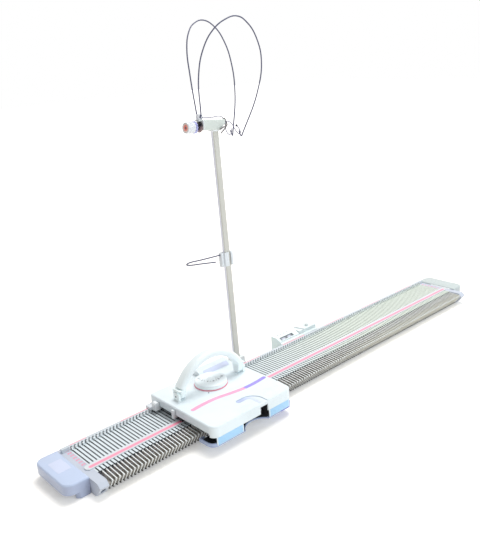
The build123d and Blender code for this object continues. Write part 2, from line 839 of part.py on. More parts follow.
for side, side_name in SIDES:
    with BuildPart() as handle_ear:
        with BuildSketch(Plane.YZ.offset(handle_middle + side * (ear_inner + ear_thickness / 2))):
            with Locations((pivot_y, pivot_z)):
                RegularPolygon(lug_radius, pin_sides)
            with Locations((pivot_y, (cover_top_z + pivot_z) / 2)):
                Rectangle(2 * lug_radius, pivot_z - cover_top_z)
            with Locations((pivot_y, pivot_z)):
                RegularPolygon(pin_radius + seat_gap, pin_sides, mode=Mode.SUBTRACT)
        extrude(amount=ear_thickness / 2, both=True)
    handle_ear.part.label = f"handle_ear_{side_name}"
    export_step(handle_ear.part, f"parts/handle_ear_{side_name}.step")

ear_outer = ear_inner + ear_thickness
with BuildPart() as handle_pins:
    for side in (-1, 1):
        with BuildSketch(Plane.YZ.offset(handle_middle + side * ear_outer)):
            with Locations((pivot_y, pivot_z)):
                RegularPolygon(pin_head_radius, pin_sides)
        extrude(amount=side * pin_head_height)
        with BuildSketch(Plane.YZ.offset(handle_middle + side * ear_outer)):
            with Locations((pivot_y, pivot_z)):
                RegularPolygon(pin_radius, pin_sides)
        extrude(amount=-side * (ear_thickness + lug_thickness))
handle_pins.part.label = "handle_pins"
export_step(handle_pins.part, "parts/handle_pins.step")

# ---------------------------------------------------------------- sinker plate
for side, side_name in SIDES:
    blade_start = carriage_x + blade_gap_x + side * blade_gap / 2
    blade_end = carriage_x + side * blade_outer
    with BuildPart() as front_plate:
        with BuildSketch(Plane.XY.offset(blade_z)):
            with Locations(((blade_start + blade_end) / 2, cover_front_y + cover_wall / 2)):
                Rectangle(side * (blade_end - blade_start), blade_thickness)
        extrude(amount=cover_end_z - blade_z)
    front_plate.part.label = f"front_plate_{side_name}"
    export_step(front_plate.part, f"parts/front_plate_{side_name}.step")

tray_front_y = cover_front_y + cover_wall / 2 - blade_thickness / 2
tray_middle_y = (tray_front_y + tray_back_y) / 2
with BuildPart() as sinker_plate:
    with BuildSketch(Plane.XY.offset(blade_z - tray_thickness)) as plan:
        with Locations((carriage_x, tray_middle_y)):
            Rectangle(2 * tray_half, tray_back_y - tray_front_y)
        fillet(plan.vertices().group_by(Axis.Y)[0], tray_corner)
        with Locations((carriage_x + scallop_x, tray_front_y - scallop_out)):
            Circle(scallop_radius, mode=Mode.SUBTRACT)
    extrude(amount=tray_thickness)
    # rims round the two front corners
    with BuildSketch(Plane.XY.offset(blade_z)) as rims:
        with Locations((carriage_x, tray_middle_y)):
            Rectangle(2 * tray_half, tray_back_y - tray_front_y)
        fillet(rims.vertices().group_by(Axis.Y)[0], tray_corner)
        offset(amount=-tray_rim_width, mode=Mode.SUBTRACT)
        with Locations((carriage_x, tray_middle_y)):
            Rectangle(2 * blade_outer + 1, 3 * (tray_back_y - tray_front_y), mode=Mode.SUBTRACT)
    extrude(amount=tray_rim)
sinker_plate.part.label = "sinker_plate"
export_step(sinker_plate.part, "parts/sinker_plate.step")

with BuildPart() as brush_pins:
    with BuildSketch(Plane.XY.offset(blade_z)):
        with Locations((carriage_x - brush_x, brush_y), (carriage_x + brush_x, brush_y)):
            RegularPolygon(brush_pin_radius, pin_sides)
    extrude(amount=brush_height + 2 * slide_gap)
brush_pins.part.label = "brush_pins"
export_step(brush_pins.part, "parts/brush_pins.step")

for side, side_name in SIDES:
    wheel_at = (carriage_x + side * brush_x, brush_y)
    with BuildPart() as brush_wheel:
        with BuildSketch(Plane.XY.offset(blade_z + slide_gap)):
            with Locations(wheel_at):
                # squares turned over each other make its points
                for turn in range(brush_points // 4):
                    RegularPolygon(brush_radius, 4, rotation=turn * 360 / brush_points)
                RegularPolygon(
                    brush_pin_radius + shaft_gap, pin_sides, major_radius=False, mode=Mode.SUBTRACT
                )
        extrude(amount=brush_height)
    brush_wheel.part.label = f"brush_wheel_{side_name}"
    export_step(brush_wheel.part, f"parts/brush_wheel_{side_name}.step")

with BuildPart() as yarn_feeder:
    with BuildSketch(Plane.XY.offset(feeder_z)):
        with Locations((carriage_x + notch_x, feeder_y)):
            RegularPolygon(feeder_radius, wheel_sides)
            RegularPolygon(feeder_bore, pin_sides, mode=Mode.SUBTRACT)
    extrude(amount=feeder_height)
    with BuildSketch(Plane.XY.offset(feeder_z)):
        with Locations((carriage_x + notch_x, feeder_y + feeder_radius + feeder_stem / 2 - 0.5)):
            Rectangle(feeder_stem, feeder_stem)
    extrude(amount=cover_ceiling_z - feeder_z)
yarn_feeder.part.label = "yarn_feeder"
export_step(yarn_feeder.part, "parts/yarn_feeder.step")

# ---------------------------------------------------------------- row counter
counter_end_x = counter_x + counter_length
slope_end_x = counter_x + counter_slope_length
slope_top_y = counter_front_y + counter_slope_depth
window_middle_x = counter_x + window_x + window_length / 2
wheel_room = 2 * (wheel_width + wheel_clear) + wheel_gap
slope_mid = ((counter_front_y + slope_top_y) / 2, (counter_lip_z + counter_top_z) / 2)
slope_plane = Plane(
    origin=(window_middle_x, slope_mid[0], slope_mid[1]),
    x_dir=(1, 0, 0),
    z_dir=(0, counter_lip_z - counter_top_z, counter_slope_depth),
)
with BuildPart() as counter_case:
    with BuildSketch(Plane.YZ.offset(counter_x)):
        with BuildLine():
            Polyline(
                (bed_back_y, counter_z),
                (bed_back_y, counter_foot_z),
                (counter_front_y, counter_foot_z + 2),
                (counter_front_y, counter_lip_z),
                (slope_top_y, counter_top_z),
                (counter_back_y, counter_top_z),
                (counter_back_y, counter_z),
                close=True,
            )
        make_face()
    extrude(amount=counter_length)
    with BuildSketch(Plane.YZ.offset(slope_end_x)):
        with BuildLine():
            Polyline(
                (counter_front_y, counter_lip_z),
                (counter_front_y, counter_top_z),
                (slope_top_y, counter_top_z),
                close=True,
            )
        make_face()
    extrude(amount=counter_end_x - slope_end_x)
    # room for the number wheels, open below
    with BuildSketch(Plane.YZ.offset(window_middle_x)):
        with Locations((wheel_y, wheel_z)):
            RegularPolygon(wheel_radius + wheel_clear, pin_sides, major_radius=False)
        with Locations((wheel_y, (counter_z + wheel_z) / 2)):
            Rectangle(2 * (wheel_radius + wheel_clear), wheel_z - counter_z)
    extrude(amount=wheel_room / 2, both=True, mode=Mode.SUBTRACT)
    with BuildSketch(slope_plane):
        Rectangle(window_length, window_height)
    extrude(amount=-lens_thickness, mode=Mode.SUBTRACT)
    with BuildSketch(slope_plane):
        Rectangle(wheel_room - 1, window_height - 2)
    extrude(amount=-8, mode=Mode.SUBTRACT)
    with BuildSketch(Plane.YZ.offset(window_middle_x)):
        with Locations((wheel_y, wheel_z)):
            RegularPolygon(spindle_radius + seat_gap, pin_sides)
    extrude(amount=wheel_room / 2 + 4, both=True, mode=Mode.SUBTRACT)
    # wells for the reset button's stem and the trip lever's pin
    with BuildSketch(Plane.XY.offset(counter_top_z)):
        with Locations((counter_x + button_x, button_y)):
            RegularPolygon(button_stem + shaft_gap, pin_sides)
        with Locations((counter_x + trip_x, trip_pivot_y)):
            RegularPolygon(trip_pin_radius + shaft_gap, pin_sides, major_radius=False)
    extrude(amount=-8, mode=Mode.SUBTRACT)
counter_case.part.label = "counter_case"
export_step(counter_case.part, "parts/counter_case.step")

with BuildPart() as counter_lens:
    with BuildSketch(slope_plane):
        Rectangle(window_length - 2 * seat_gap, window_height - 2 * seat_gap)
    extrude(amount=-lens_thickness)
counter_lens.part.label = "counter_lens"
export_step(counter_lens.part, "parts/counter_lens.step")

with BuildPart() as counter_spindle:
    with BuildSketch(Plane.YZ.offset(window_middle_x)):
        with Locations((wheel_y, wheel_z)):
            RegularPolygon(spindle_radius, pin_sides)
    extrude(amount=wheel_room / 2 + 3, both=True)
counter_spindle.part.label = "counter_spindle"
export_step(counter_spindle.part, "parts/counter_spindle.step")

for side, wheel_name in ((-1, "tens_wheel"), (1, "units_wheel")):
    wheel_x = window_middle_x + side * (wheel_width + wheel_gap) / 2
    with BuildPart() as number_wheel:
        with BuildSketch(Plane.YZ.offset(wheel_x)):
            with Locations((wheel_y, wheel_z)):
                RegularPolygon(wheel_radius, wheel_sides)
                RegularPolygon(
                    spindle_radius + shaft_gap, pin_sides, major_radius=False, mode=Mode.SUBTRACT
                )
        extrude(amount=wheel_width / 2, both=True)
    number_wheel.part.label = wheel_name
    export_step(number_wheel.part, f"parts/{wheel_name}.step")

with BuildPart() as reset_button:
    with BuildSketch(Plane.XY.offset(counter_top_z + button_travel + slide_gap)):
        with Locations((counter_x + button_x, button_y)):
            RegularPolygon(button_radius, wheel_sides)
    extrude(amount=button_rise)
    with BuildSketch(Plane.XY.offset(counter_top_z + button_travel + slide_gap)):
        with Locations((counter_x + button_x, button_y)):
            RegularPolygon(button_stem, pin_sides)
    extrude(amount=-button_travel - 4)
reset_button.part.label = "reset_button"
export_step(reset_button.part, "parts/reset_button.step")

with BuildPart() as trip_lever:
    with BuildSketch(Plane.XY.offset(counter_top_z + slide_gap)):
        with BuildLine():
            Polyline(
                (counter_x + trip_x, cover_back_y + trip_clear),
                (counter_x + trip_x + trip_half_width, trip_pivot_y + 3),
                (counter_x + trip_x, trip_pivot_y - 3),
                (counter_x + trip_x - trip_half_width, trip_pivot_y + 3),
                close=True,
            )
        make_face()
        with Locations((counter_x + trip_x, trip_pivot_y)):
            RegularPolygon(2 * trip_pin_radius, pin_sides)
    extrude(amount=trip_thickness)
    with BuildSketch(Plane.XY.offset(counter_top_z + slide_gap)):
        with Locations((counter_x + trip_x, trip_pivot_y)):
            RegularPolygon(trip_pin_radius, pin_sides)
    extrude(amount=-6)
trip_lever.part.label = "trip_lever"
export_step(trip_lever.part, "parts/trip_lever.step")

# ---------------------------------------------------------------- yarn mast
mast_foot = Plane(
    origin=(mast_x, mast_y, holder_z + holder_floor),
    x_dir=(1, 0, 0),
    z_dir=(0, sin(radians(mast_lean)), cos(radians(mast_lean))),
)
with BuildPart() as mast_holder:
    with BuildSketch(Plane.YZ.offset(mast_x)):
        with BuildLine():
            Polyline(
                (bed_back_y, holder_z),
                (bed_back_y, holder_lip_z),
                (holder_lip_y, holder_lip_z),
                (holder_lip_y, holder_top_z),
                (holder_back_y, holder_top_z),
                (holder_back_y, holder_z),
                close=True,
            )
        make_face()
    extrude(amount=holder_width / 2, both=True)
    with BuildSketch(mast_foot):
        Rectangle(mast_width + 2 * seat_gap, mast_thickness + 2 * seat_gap)
    extrude(amount=2 * holder_top_z, mode=Mode.SUBTRACT)
mast_holder.part.label = "mast_holder"
export_step(mast_holder.part, "parts/mast_holder.step")

with BuildPart() as mast:
    with BuildSketch(mast_foot) as bar:
        Rectangle(mast_width, mast_thickness)
        chamfer(bar.vertices(), mast_edge)
    extrude(amount=mast_length)
mast.part.label = "mast"
export_step(mast.part, "parts/mast.step")

clip_foot = mast_foot.offset(clip_at)
with BuildPart() as guide_clip:
    with BuildSketch(clip_foot):
        Rectangle(mast_width + 2 * clip_wall, mast_thickness + 2 * clip_wall)
        with Locations((-mast_width / 2 - clip_wall, 0)):
            Rectangle(2 * clip_pad_length, mast_thickness)
        Rectangle(mast_width + 2 * slide_gap, mast_thickness + 2 * slide_gap, mode=Mode.SUBTRACT)
        with Locations((clip_mouth_x, -mast_thickness)):
            Rectangle(clip_mouth, mast_thickness, mode=Mode.SUBTRACT)
    extrude(amount=clip_height)
guide_clip.part.label = "guide_clip"
export_step(guide_clip.part, "parts/guide_clip.step")

wire_start = mast_foot.from_local_coords(
    (-mast_width / 2 - clip_wall - clip_pad_length, 0, clip_at + clip_height - 3)
)
with BuildPart() as guide_wire:
    with BuildLine() as guide_path:
        Polyline(
            wire_start,
            wire_start + Vector(-guide_reach, 0, guide_rise),
            wire_start + Vector(-guide_reach - guide_bend, 0, guide_rise - guide_bend),
            wire_start + Vector(-guide_reach, 0, guide_rise - 2 * guide_bend),
            wire_start + Vector(guide_return - guide_reach, 0, -guide_drop),
        )
    with BuildSketch(Plane(origin=guide_path.line @ 0, z_dir=guide_path.line % 0)):
        RegularPolygon(guide_wire_radius, wire_sides)
    sweep(transition=Transition.RIGHT)
guide_wire.part.label = "guide_wire"
export_step(guide_wire.part, "parts/guide_wire.step")

# ---------------------------------------------------------------- tension unit
tilt = radians(head_tilt)
lean = radians(mast_lean)
head = Plane(
    origin=mast_foot.from_local_coords((0, 0, mast_length)),
    x_dir=(cos(tilt), 0, -sin(tilt)),
    z_dir=(sin(tilt) * cos(lean), sin(lean), cos(tilt) * cos(lean)),
)


def head_plane(x, y, z, normal, across):
    """A plane at a point of the tension unit, facing along one of the unit's own axes."""
    return Plane(origin=head.from_local_coords((x, y, z)), x_dir=across, z_dir=normal)


side_plane = head_plane(0, 0, 0, head.y_dir * -1, head.x_dir)
with BuildPart() as tension_body:
    with BuildSketch(side_plane) as body_outline:
        with BuildLine():
            Polyline(
                (-body_left, -body_half_height),
                (-body_left, body_half_height),
                (body_right, body_half_height),
                (body_right, body_half_height - (2 * body_half_height - body_taper_z)),
                (body_right - body_taper_x, -body_half_height),
                close=True,
            )
        make_face()
        chamfer(body_outline.vertices(), body_edge)
    extrude(amount=body_depth / 2, both=True)
    ledge_x = -body_left - ledge_length / 2 + body_edge
    with BuildSketch(head_plane(ledge_x, 0, body_half_height - ledge_thickness, head.z_dir, head.x_dir)):
        Rectangle(ledge_length + 2 * body_edge, ledge_width)
    extrude(amount=ledge_thickness)
    with BuildSketch(mast_foot.offset(mast_length - body_half_height - collar_height)):
        Rectangle(mast_width + 2 * collar_wall, mast_thickness + 2 * collar_wall)
    extrude(amount=2 * collar_height)
    with BuildSketch(mast_foot.offset(mast_length - 3 * body_half_height)):
        Rectangle(mast_width + 2 * seat_gap, mast_thickness + 2 * seat_gap)
    extrude(amount=3 * body_half_height, mode=Mode.SUBTRACT)
    with BuildSketch(head_plane(-body_left, 0, -spindle_drop, head.x_dir * -1, head.y_dir)):
        RegularPolygon(unit_spindle_radius + seat_gap, pin_sides)
    extrude(amount=-unit_spindle_seat, mode=Mode.SUBTRACT)
tension_body.part.label = "tension_body"
export_step(tension_body.part, "parts/tension_body.step")


def along_spindle(distance):
    """A plane square to the spindle, at a distance from the body's left face, facing outward."""
    return head_plane(-body_left - distance, 0, -spindle_drop, head.x_dir * -1, head.y_dir)


inner_disc_at = spacer_length
outer_disc_at = inner_disc_at + disc_thickness + disc_gap
spring_at = outer_disc_at + disc_thickness
ring_at = spring_at + spring_length + slide_gap
knob_at = ring_at + ring_thickness
spindle_end = knob_at + knob_length / 2
with BuildPart() as tension_spindle:
    with BuildSketch(along_spindle(-unit_spindle_seat)):
        RegularPolygon(unit_spindle_radius, pin_sides)
    extrude(amount=unit_spindle_seat + spindle_end)
    with BuildSketch(along_spindle(0)):
        RegularPolygon(spacer_radius, pin_sides)
    extrude(amount=spacer_length)
tension_spindle.part.label = "tension_spindle"
export_step(tension_spindle.part, "parts/tension_spindle.step")

for disc_at, disc_name in ((inner_disc_at, "inner_disc"), (outer_disc_at, "outer_disc")):
    with BuildPart() as disc:
        with BuildSketch(along_spindle(disc_at)):
            RegularPolygon(disc_radius, wheel_sides)
            RegularPolygon(unit_spindle_radius + seat_gap, pin_sides, mode=Mode.SUBTRACT)
        extrude(amount=disc_thickness)
    disc.part.label = disc_name
    export_step(disc.part, f"parts/{disc_name}.step")

# a square wire wound round the spindle, drawn with straight runs
spring_points = []
for step in range(spring_coils * spring_runs + 1):
    turn = radians(step * 360 / spring_runs)
    rise = spring_wire / 2 + (spring_length - spring_wire) * step / (spring_coils * spring_runs)
    coil_plane = along_spindle(spring_at + rise)
    spring_points.append(
        coil_plane.from_local_coords((spring_radius * cos(turn), spring_radius * sin(turn), 0))
    )
with BuildPart() as tension_spring:
    with BuildLine() as coil:
        Polyline(*spring_points)
    with BuildSketch(Plane(origin=coil.line @ 0, x_dir=head.x_dir, z_dir=coil.line % 0)):
        Rectangle(spring_wire, spring_wire)
    sweep(transition=Transition.RIGHT)
tension_spring.part.label = "tension_spring"
export_step(tension_spring.part, "parts/tension_spring.step")

with BuildPart() as tension_knob:
    with BuildSketch(along_spindle(ring_at)):
        RegularPolygon(ring_root_radius, ring_teeth)
        with PolarLocations(ring_root_radius, ring_teeth, 180 / ring_teeth):
            Rectangle(2 * (ring_radius - ring_root_radius), tooth_width)
    extrude(amount=ring_thickness)
    with BuildSketch(along_spindle(knob_at)):
        RegularPolygon(knob_radius, wheel_sides)
    extrude(amount=knob_length)
    knob_axis_direction = head.x_dir * -1
    chamfer(tension_knob.faces().sort_by(Axis(head.origin, knob_axis_direction))[-1].edges(), knob_edge)
    with BuildSketch(along_spindle(knob_at + knob_length - knob_dish_depth)):
        RegularPolygon(knob_dish_radius, wheel_sides)
    extrude(amount=knob_dish_depth, mode=Mode.SUBTRACT)
    with BuildSketch(along_spindle(ring_at)):
        RegularPolygon(unit_spindle_radius + shaft_gap, pin_sides, major_radius=False)
    extrude(amount=spindle_end - ring_at + slide_gap, mode=Mode.SUBTRACT)
tension_knob.part.label = "tension_knob"
export_step(tension_knob.part, "parts/tension_knob.step")

# post on the ledge with a cross pin that carries both take-up wires
post_x_middle = -body_left - ledge_length + post_inset + post_length / 2
post_pin_z = body_half_height + post_height / 2
with BuildPart() as wire_post:
    with BuildSketch(head_plane(post_x_middle, 0, body_half_height, head.z_dir, head.x_dir)):
        Rectangle(post_length, post_width)
    extrude(amount=post_height)
    with BuildSketch(head_plane(post_x_middle, 0, post_pin_z, head.y_dir, head.x_dir)):
        RegularPolygon(eye_pin_radius, pin_sides)
    extrude(amount=post_width / 2 + slide_gap + eye_width + 1, both=True)
wire_post.part.label = "wire_post"
export_step(wire_post.part, "parts/wire_post.step")


# Each take-up wire is a spring-steel bow from its eye, up and over, down to the yarn hooks, with
# its tip turned back up for the yarn.
bow = (
    (0, 0, eye_radius - 0.5),
    (-3.5, 6, 69),
    (2.5, 16.5, 111),
    (17, 26.5, 138),
    (37, 35, 153.5),
    (61, 38.5, 159),
    (84, 38, 148),
    (105, 37, 122),
    (117, 34, 84),
    (113, 24, 32),
    (85.5, 6.5, -42),
    (80, 5.9, -32),
)
for side, wire_name in ((1, "takeup_wire_back"), (-1, "takeup_wire_front")):
    eye_y = side * (post_width / 2 + slide_gap + eye_width / 2)
    eye_at = head.from_local_coords((post_x_middle, eye_y, post_pin_z))
    with BuildPart() as takeup_wire:
        with BuildSketch(head_plane(post_x_middle, eye_y, post_pin_z, head.y_dir, head.x_dir)):
            RegularPolygon(eye_radius, pin_sides)
            RegularPolygon(
                eye_pin_radius + shaft_gap, pin_sides, major_radius=False, mode=Mode.SUBTRACT
            )
        extrude(amount=eye_width / 2, both=True)
        with BuildLine() as bow_path:
            Polyline(*[eye_at + Vector(x, side * y, z) for x, y, z in bow])
        with BuildSketch(Plane(origin=bow_path.line @ 0, z_dir=bow_path.line % 0)):
            RegularPolygon(takeup_wire_radius, wire_sides)
        sweep(transition=Transition.RIGHT)
    takeup_wire.part.label = wire_name
    export_step(takeup_wire.part, f"parts/{wire_name}.step")

# Two hooks on the body's right end hold the yarn and turn down in front of it.
hook_paths = (
    (
        (body_right, -4, hook_root_z),
        (body_right + 4, -4, hook_root_z),
        (body_right + 4.5, -7, -3),
        (body_right - 13, -12, -17),
    ),
    (
        (body_right, 4, hook_root_z),
        (body_right + 9, 4, hook_root_z),
        (body_right + 12, 0, 0),
        (body_right + 7, -7, -5),
        (body_right - 13, -13, -12),
    ),
)
with BuildPart() as yarn_hooks:
    for hook_path in hook_paths:
        with BuildLine() as hook_line:
            Polyline(*[head.from_local_coords(point) for point in hook_path])
        with BuildSketch(Plane(origin=hook_line.line @ 0, z_dir=hook_line.line % 0)):
            RegularPolygon(yarn_hook_radius, wire_sides)
        sweep(transition=Transition.RIGHT)
yarn_hooks.part.label = "yarn_hooks"
export_step(yarn_hooks.part, "parts/yarn_hooks.step")
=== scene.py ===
import json
from math import asin, cos, pi, radians, sin

import bmesh
import bpy
from mathutils import Matrix, Vector


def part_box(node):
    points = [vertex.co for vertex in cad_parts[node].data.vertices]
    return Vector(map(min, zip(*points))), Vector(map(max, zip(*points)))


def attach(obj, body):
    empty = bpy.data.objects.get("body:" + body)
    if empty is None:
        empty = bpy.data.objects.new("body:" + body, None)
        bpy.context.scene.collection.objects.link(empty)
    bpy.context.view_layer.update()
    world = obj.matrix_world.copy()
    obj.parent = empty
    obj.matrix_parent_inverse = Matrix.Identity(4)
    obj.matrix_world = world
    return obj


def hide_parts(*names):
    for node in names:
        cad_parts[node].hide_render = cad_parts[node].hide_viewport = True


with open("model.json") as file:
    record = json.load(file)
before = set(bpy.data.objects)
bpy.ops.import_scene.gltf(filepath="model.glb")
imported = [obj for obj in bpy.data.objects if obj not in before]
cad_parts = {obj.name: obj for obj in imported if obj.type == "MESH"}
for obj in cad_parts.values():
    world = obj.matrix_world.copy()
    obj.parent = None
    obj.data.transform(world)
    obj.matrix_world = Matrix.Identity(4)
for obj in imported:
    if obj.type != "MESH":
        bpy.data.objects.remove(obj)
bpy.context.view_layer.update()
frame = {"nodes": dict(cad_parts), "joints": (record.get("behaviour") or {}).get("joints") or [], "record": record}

# Shapes below are written in millimetres and set in the frame's metres when a piece is made.
MM = 0.001


def spot(node):
    """A CAD node's lowest and highest corners, in millimetres."""
    low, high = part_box(node)
    return low / MM, high / MM


def middle(node):
    low, high = spot(node)
    return (low + high) / 2


def joint(name):
    return next(j for j in frame["joints"] if j["name"] == name)


def joint_place(name):
    return Vector(joint(name)["pos_m"]) / MM


def turned(origin, x_axis, y_axis):
    """A matrix with that origin and those first two axes."""
    x_axis, y_axis = Vector(x_axis).normalized(), Vector(y_axis).normalized()
    z_axis = x_axis.cross(y_axis)
    columns = Matrix((x_axis, y_axis, z_axis)).transposed().to_4x4()
    return Matrix.Translation(origin) @ columns


def shift(x=0, y=0, z=0):
    return Matrix.Translation((x, y, z))


# ---- materials
def shade(*display):
    """A display colour, red, green and blue from 0 to 255, as linear light."""
    parts = [part / 255 for part in display]
    linear = [c / 12.92 if c <= 0.04045 else ((c + 0.055) / 1.055) ** 2.4 for c in parts]
    return (*linear, 1.0)


def tone(colour, factor):
    """A lighter or darker version of a colour, held to what a surface can reflect."""
    return (*(min(0.98, c * factor) for c in colour[:3]), 1.0)


def two_inputs(operation, swapped=False):
    """A method of Value that adds a node with two inputs."""
    def method(self, other):
        return self.maths(operation, *((other, self) if swapped else (self, other)))

    return method


def one_input(operation):
    """A method of Value that adds a node with one input."""
    return lambda self: self.maths(operation, self)


class Value:
    """One output of a material's nodes. Arithmetic on it adds the nodes."""

    def __init__(self, nodes, socket):
        self.nodes = nodes
        self.socket = socket

    def maths(self, operation, *terms):
        values = dict(zip(("Value", "Value_001"), terms))
        return self.nodes.node("ShaderNodeMath", {"operation": operation}, **values)

    def between(self, low, high):
        """0 at low, 1 at high, smooth between them."""
        return self.nodes.node(
            "ShaderNodeMapRange",
            {"interpolation_type": "SMOOTHSTEP"},
            Value=self, **{"From Min": low, "From Max": high},
        )

    __add__, __radd__ = two_inputs("ADD"), two_inputs("ADD", swapped=True)
    __sub__, __rsub__ = two_inputs("SUBTRACT"), two_inputs("SUBTRACT", swapped=True)
    __mul__, __rmul__ = two_inputs("MULTIPLY"), two_inputs("MULTIPLY", swapped=True)
    __truediv__ = two_inputs("DIVIDE")
    __lt__, __gt__ = two_inputs("LESS_THAN"), two_inputs("GREATER_THAN")
    at_least, at_most = two_inputs("MAXIMUM"), two_inputs("MINIMUM")
    absolute, root, fraction = one_input("ABSOLUTE"), one_input("SQRT"), one_input("FRACT")


def add_node(tree, kind, settings=None, **inputs):
    """Adds a node: its settings, then its inputs by identifier, or by name with _ for a space."""
    made = tree.nodes.new(kind)
    for key, value in (settings or {}).items():
        setattr(made, key, value)
    set_inputs(tree, made, inputs)
    return made


def set_inputs(tree, node, inputs):
    for key, value in inputs.items():
        socket = next((s for s in node.inputs if s.identifier == key), None)
        socket = socket or node.inputs[key.replace("_", " ")]
        if isinstance(value, Value):
            value = value.socket
        if isinstance(value, bpy.types.NodeSocket):
            tree.links.new(value, socket)
        else:
            socket.default_value = value


class Nodes:
    """A tree of shader nodes and the patterns that are made in it."""

    def __init__(self, tree):
        self.tree = tree

    def node(self, kind, settings=None, output=0, **inputs):
        outputs = add_node(self.tree, kind, settings, **inputs).outputs
        if isinstance(output, str):
            return Value(self, next(o for o in outputs if output in (o.identifier, o.name)))
        return Value(self, outputs[output])

    def mix(self, share, first, second):
        """first where share is 0, second where it is 1."""
        return self.node(
            "ShaderNodeMix", {"data_type": "RGBA"}, output="Result_Color",
            Factor_Float=share, A_Color=first, B_Color=second,
        )

    def seen(self):
        """1 for what the camera sees, also in reflections and through glass, and 0 for light."""
        camera, glossy, through = (
            self.node("ShaderNodeLightPath", output=f"Is {kind} Ray")
            for kind in ("Camera", "Glossy", "Transmission")
        )
        return camera.at_least(glossy).at_least(through)


finishes = {}


class Finish(Nodes):
    """A material written as patterns in the model's own metres, kept in finishes."""

    def __init__(self, name):
        material = finishes[name] = bpy.data.materials.new(name)
        material.use_nodes = True
        super().__init__(material.node_tree)
        self.tree.nodes.clear()
        self.shader = add_node(self.tree, "ShaderNodeBsdfPrincipled")
        add_node(self.tree, "ShaderNodeOutputMaterial", Surface=self.shader.outputs[0])
        self.place = self.node("ShaderNodeTexCoord", output="Object")
        self.x, self.y, self.z = (
            self.node("ShaderNodeSeparateXYZ", output=axis, Vector=self.place) for axis in "XYZ"
        )

    def noise(self, scale, detail=2.0, stretch=None):
        where = self.place
        if stretch:
            where = self.node("ShaderNodeMapping", Vector=self.place, Scale=stretch)
        return self.node("ShaderNodeTexNoise", Vector=where, Scale=scale, Detail=detail)

    def away_from(self, point):
        """How far a surface point is from a point given in millimetres."""
        return self.node(
            "ShaderNodeVectorMath", {"operation": "DISTANCE"}, output="Value",
            Vector=self.place, Vector_001=tuple(Vector(point) * MM),
        )

    def worn_edges(self, radius):
        """(0 on flats and up to 1 on edges, the normal with those edges rounded)."""
        rounded = self.node("ShaderNodeBevel", {"samples": 4}, Radius=radius)
        flat = self.node("ShaderNodeNewGeometry", output="Normal")
        alike = self.node(
            "ShaderNodeVectorMath", {"operation": "DOT_PRODUCT"}, output="Value",
            Vector=rounded, Vector_001=flat,
        )
        return (1 - alike).between(0.02, 0.22), rounded

    def bump(self, height, strength, distance, normal=None):
        inputs = {"Height": height, "Strength": strength, "Distance": distance}
        if normal is not None:
            inputs["Normal"] = normal
        return self.node("ShaderNodeBump", **inputs)

    def finish(self, **inputs):
        """Sets the shader's inputs, named with _ for a space."""
        set_inputs(self.tree, self.shader, inputs)


def plastic(
    name, rgb, dark=0.94, light=1.03, roughness=0.38, grain=1.0, edge=0.0005, pattern=None
):
    """Moulded plastic: faint flow marks and grain, rounded edges that are rubbed lighter."""
    f = Finish(name)
    colour = shade(*rgb)
    worn, rounded = f.worn_edges(edge)
    cloudy = f.noise(14.0, detail=3.0).between(0.35, 0.65)
    fine = f.noise(900.0)
    body = f.mix(cloudy, tone(colour, dark), colour)
    if pattern:
        body = pattern(f, body)
    body = f.mix(worn * 0.6, body, tone(colour, light))
    skin = f.bump(fine, 0.10 * grain, 0.0002, rounded)
    f.finish(
        Base_Color=body,
        Roughness=fine * 0.10 + cloudy * 0.06 + (roughness - 0.08) - worn * 0.06,
        Normal=f.bump(f.noise(60.0), 0.06 * grain, 0.0006, skin),
        Specular_IOR_Level=0.45,
        Coat_Weight=0.08,
    )


def metal(name, rgb, roughness=0.3, along=(1.0, 1.0, 1.0), pattern=None):
    """Drawn or rolled metal: fine lines along the piece, dull patches and bright edges."""
    f = Finish(name)
    colour = shade(*rgb)
    worn, rounded = f.worn_edges(0.0002)
    lines = f.noise(700.0, detail=3.0, stretch=along)
    dull = f.noise(35.0, detail=4.0).between(0.4, 0.7)
    body = f.mix(dull, colour, tone(colour, 0.72))
    body = f.mix(worn * 0.7, body, tone(colour, 1.35))
    if pattern:
        body = pattern(f, body)
    f.finish(
        Base_Color=body,
        Metallic=1.0 - dull * 0.15,
        Roughness=lines * 0.16 + dull * 0.14 + (roughness - 0.1),
        Normal=f.bump(lines, 0.12, 0.0001, rounded),
    )


# ---- where things are
PITCH = 6.5  # from one needle to the next
PEG_HALF = 0.9
bed_end = spot("bed_base")[1].x
rail_low, rail_high = spot("back_rail")
walls_top = spot("channel_plate")[1].z
strip_low, strip_high = spot("needle_retainer")
tray_low, tray_high = spot("sinker_plate")
tray_floor = tray_low.z + 2.0

cover_low, cover_high = spot("carriage_cover")
cover_x = (cover_low.x + cover_high.x) / 2
cover_top = 51.0  # its flat part; the hood behind is higher
swoosh_change = cover_x + 33.0

dial_low, dial_high = spot("stitch_dial")
case_low, case_high = spot("counter_case")
pivot = joint_place("handle_fold")
handle_x = middle("handle").x
lug_x = 65.0  # from the handle's middle to the lugs at its ends
arch_half = 69.0  # from there to where its arch would meet the pivots' height

# the tension unit's own axes, read from the joints that turn on them
unit_x = -Vector(joint("tension_knob_turn")["axis"])
unit_y = -Vector(joint("takeup_back_lift")["axis"])
mast_up = Vector(joint("guide_clip_slide")["axis"])
unit_at = joint_place("tension_knob_turn") + 60 * unit_x + 3 * unit_x.cross(unit_y)
UNIT = turned(unit_at, unit_x, unit_y)
MAST_TOP = turned(unit_at, (1, 0, 0), mast_up.cross(Vector((1, 0, 0))))
body_left, body_right, body_half = 30.8, 20.0, 9.0
SPINDLE = UNIT @ shift(-body_left, 0, -3) @ Matrix.Rotation(radians(-90), 4, "Y")
knob_far = 32.9  # the knob's end face, from the spindle's foot


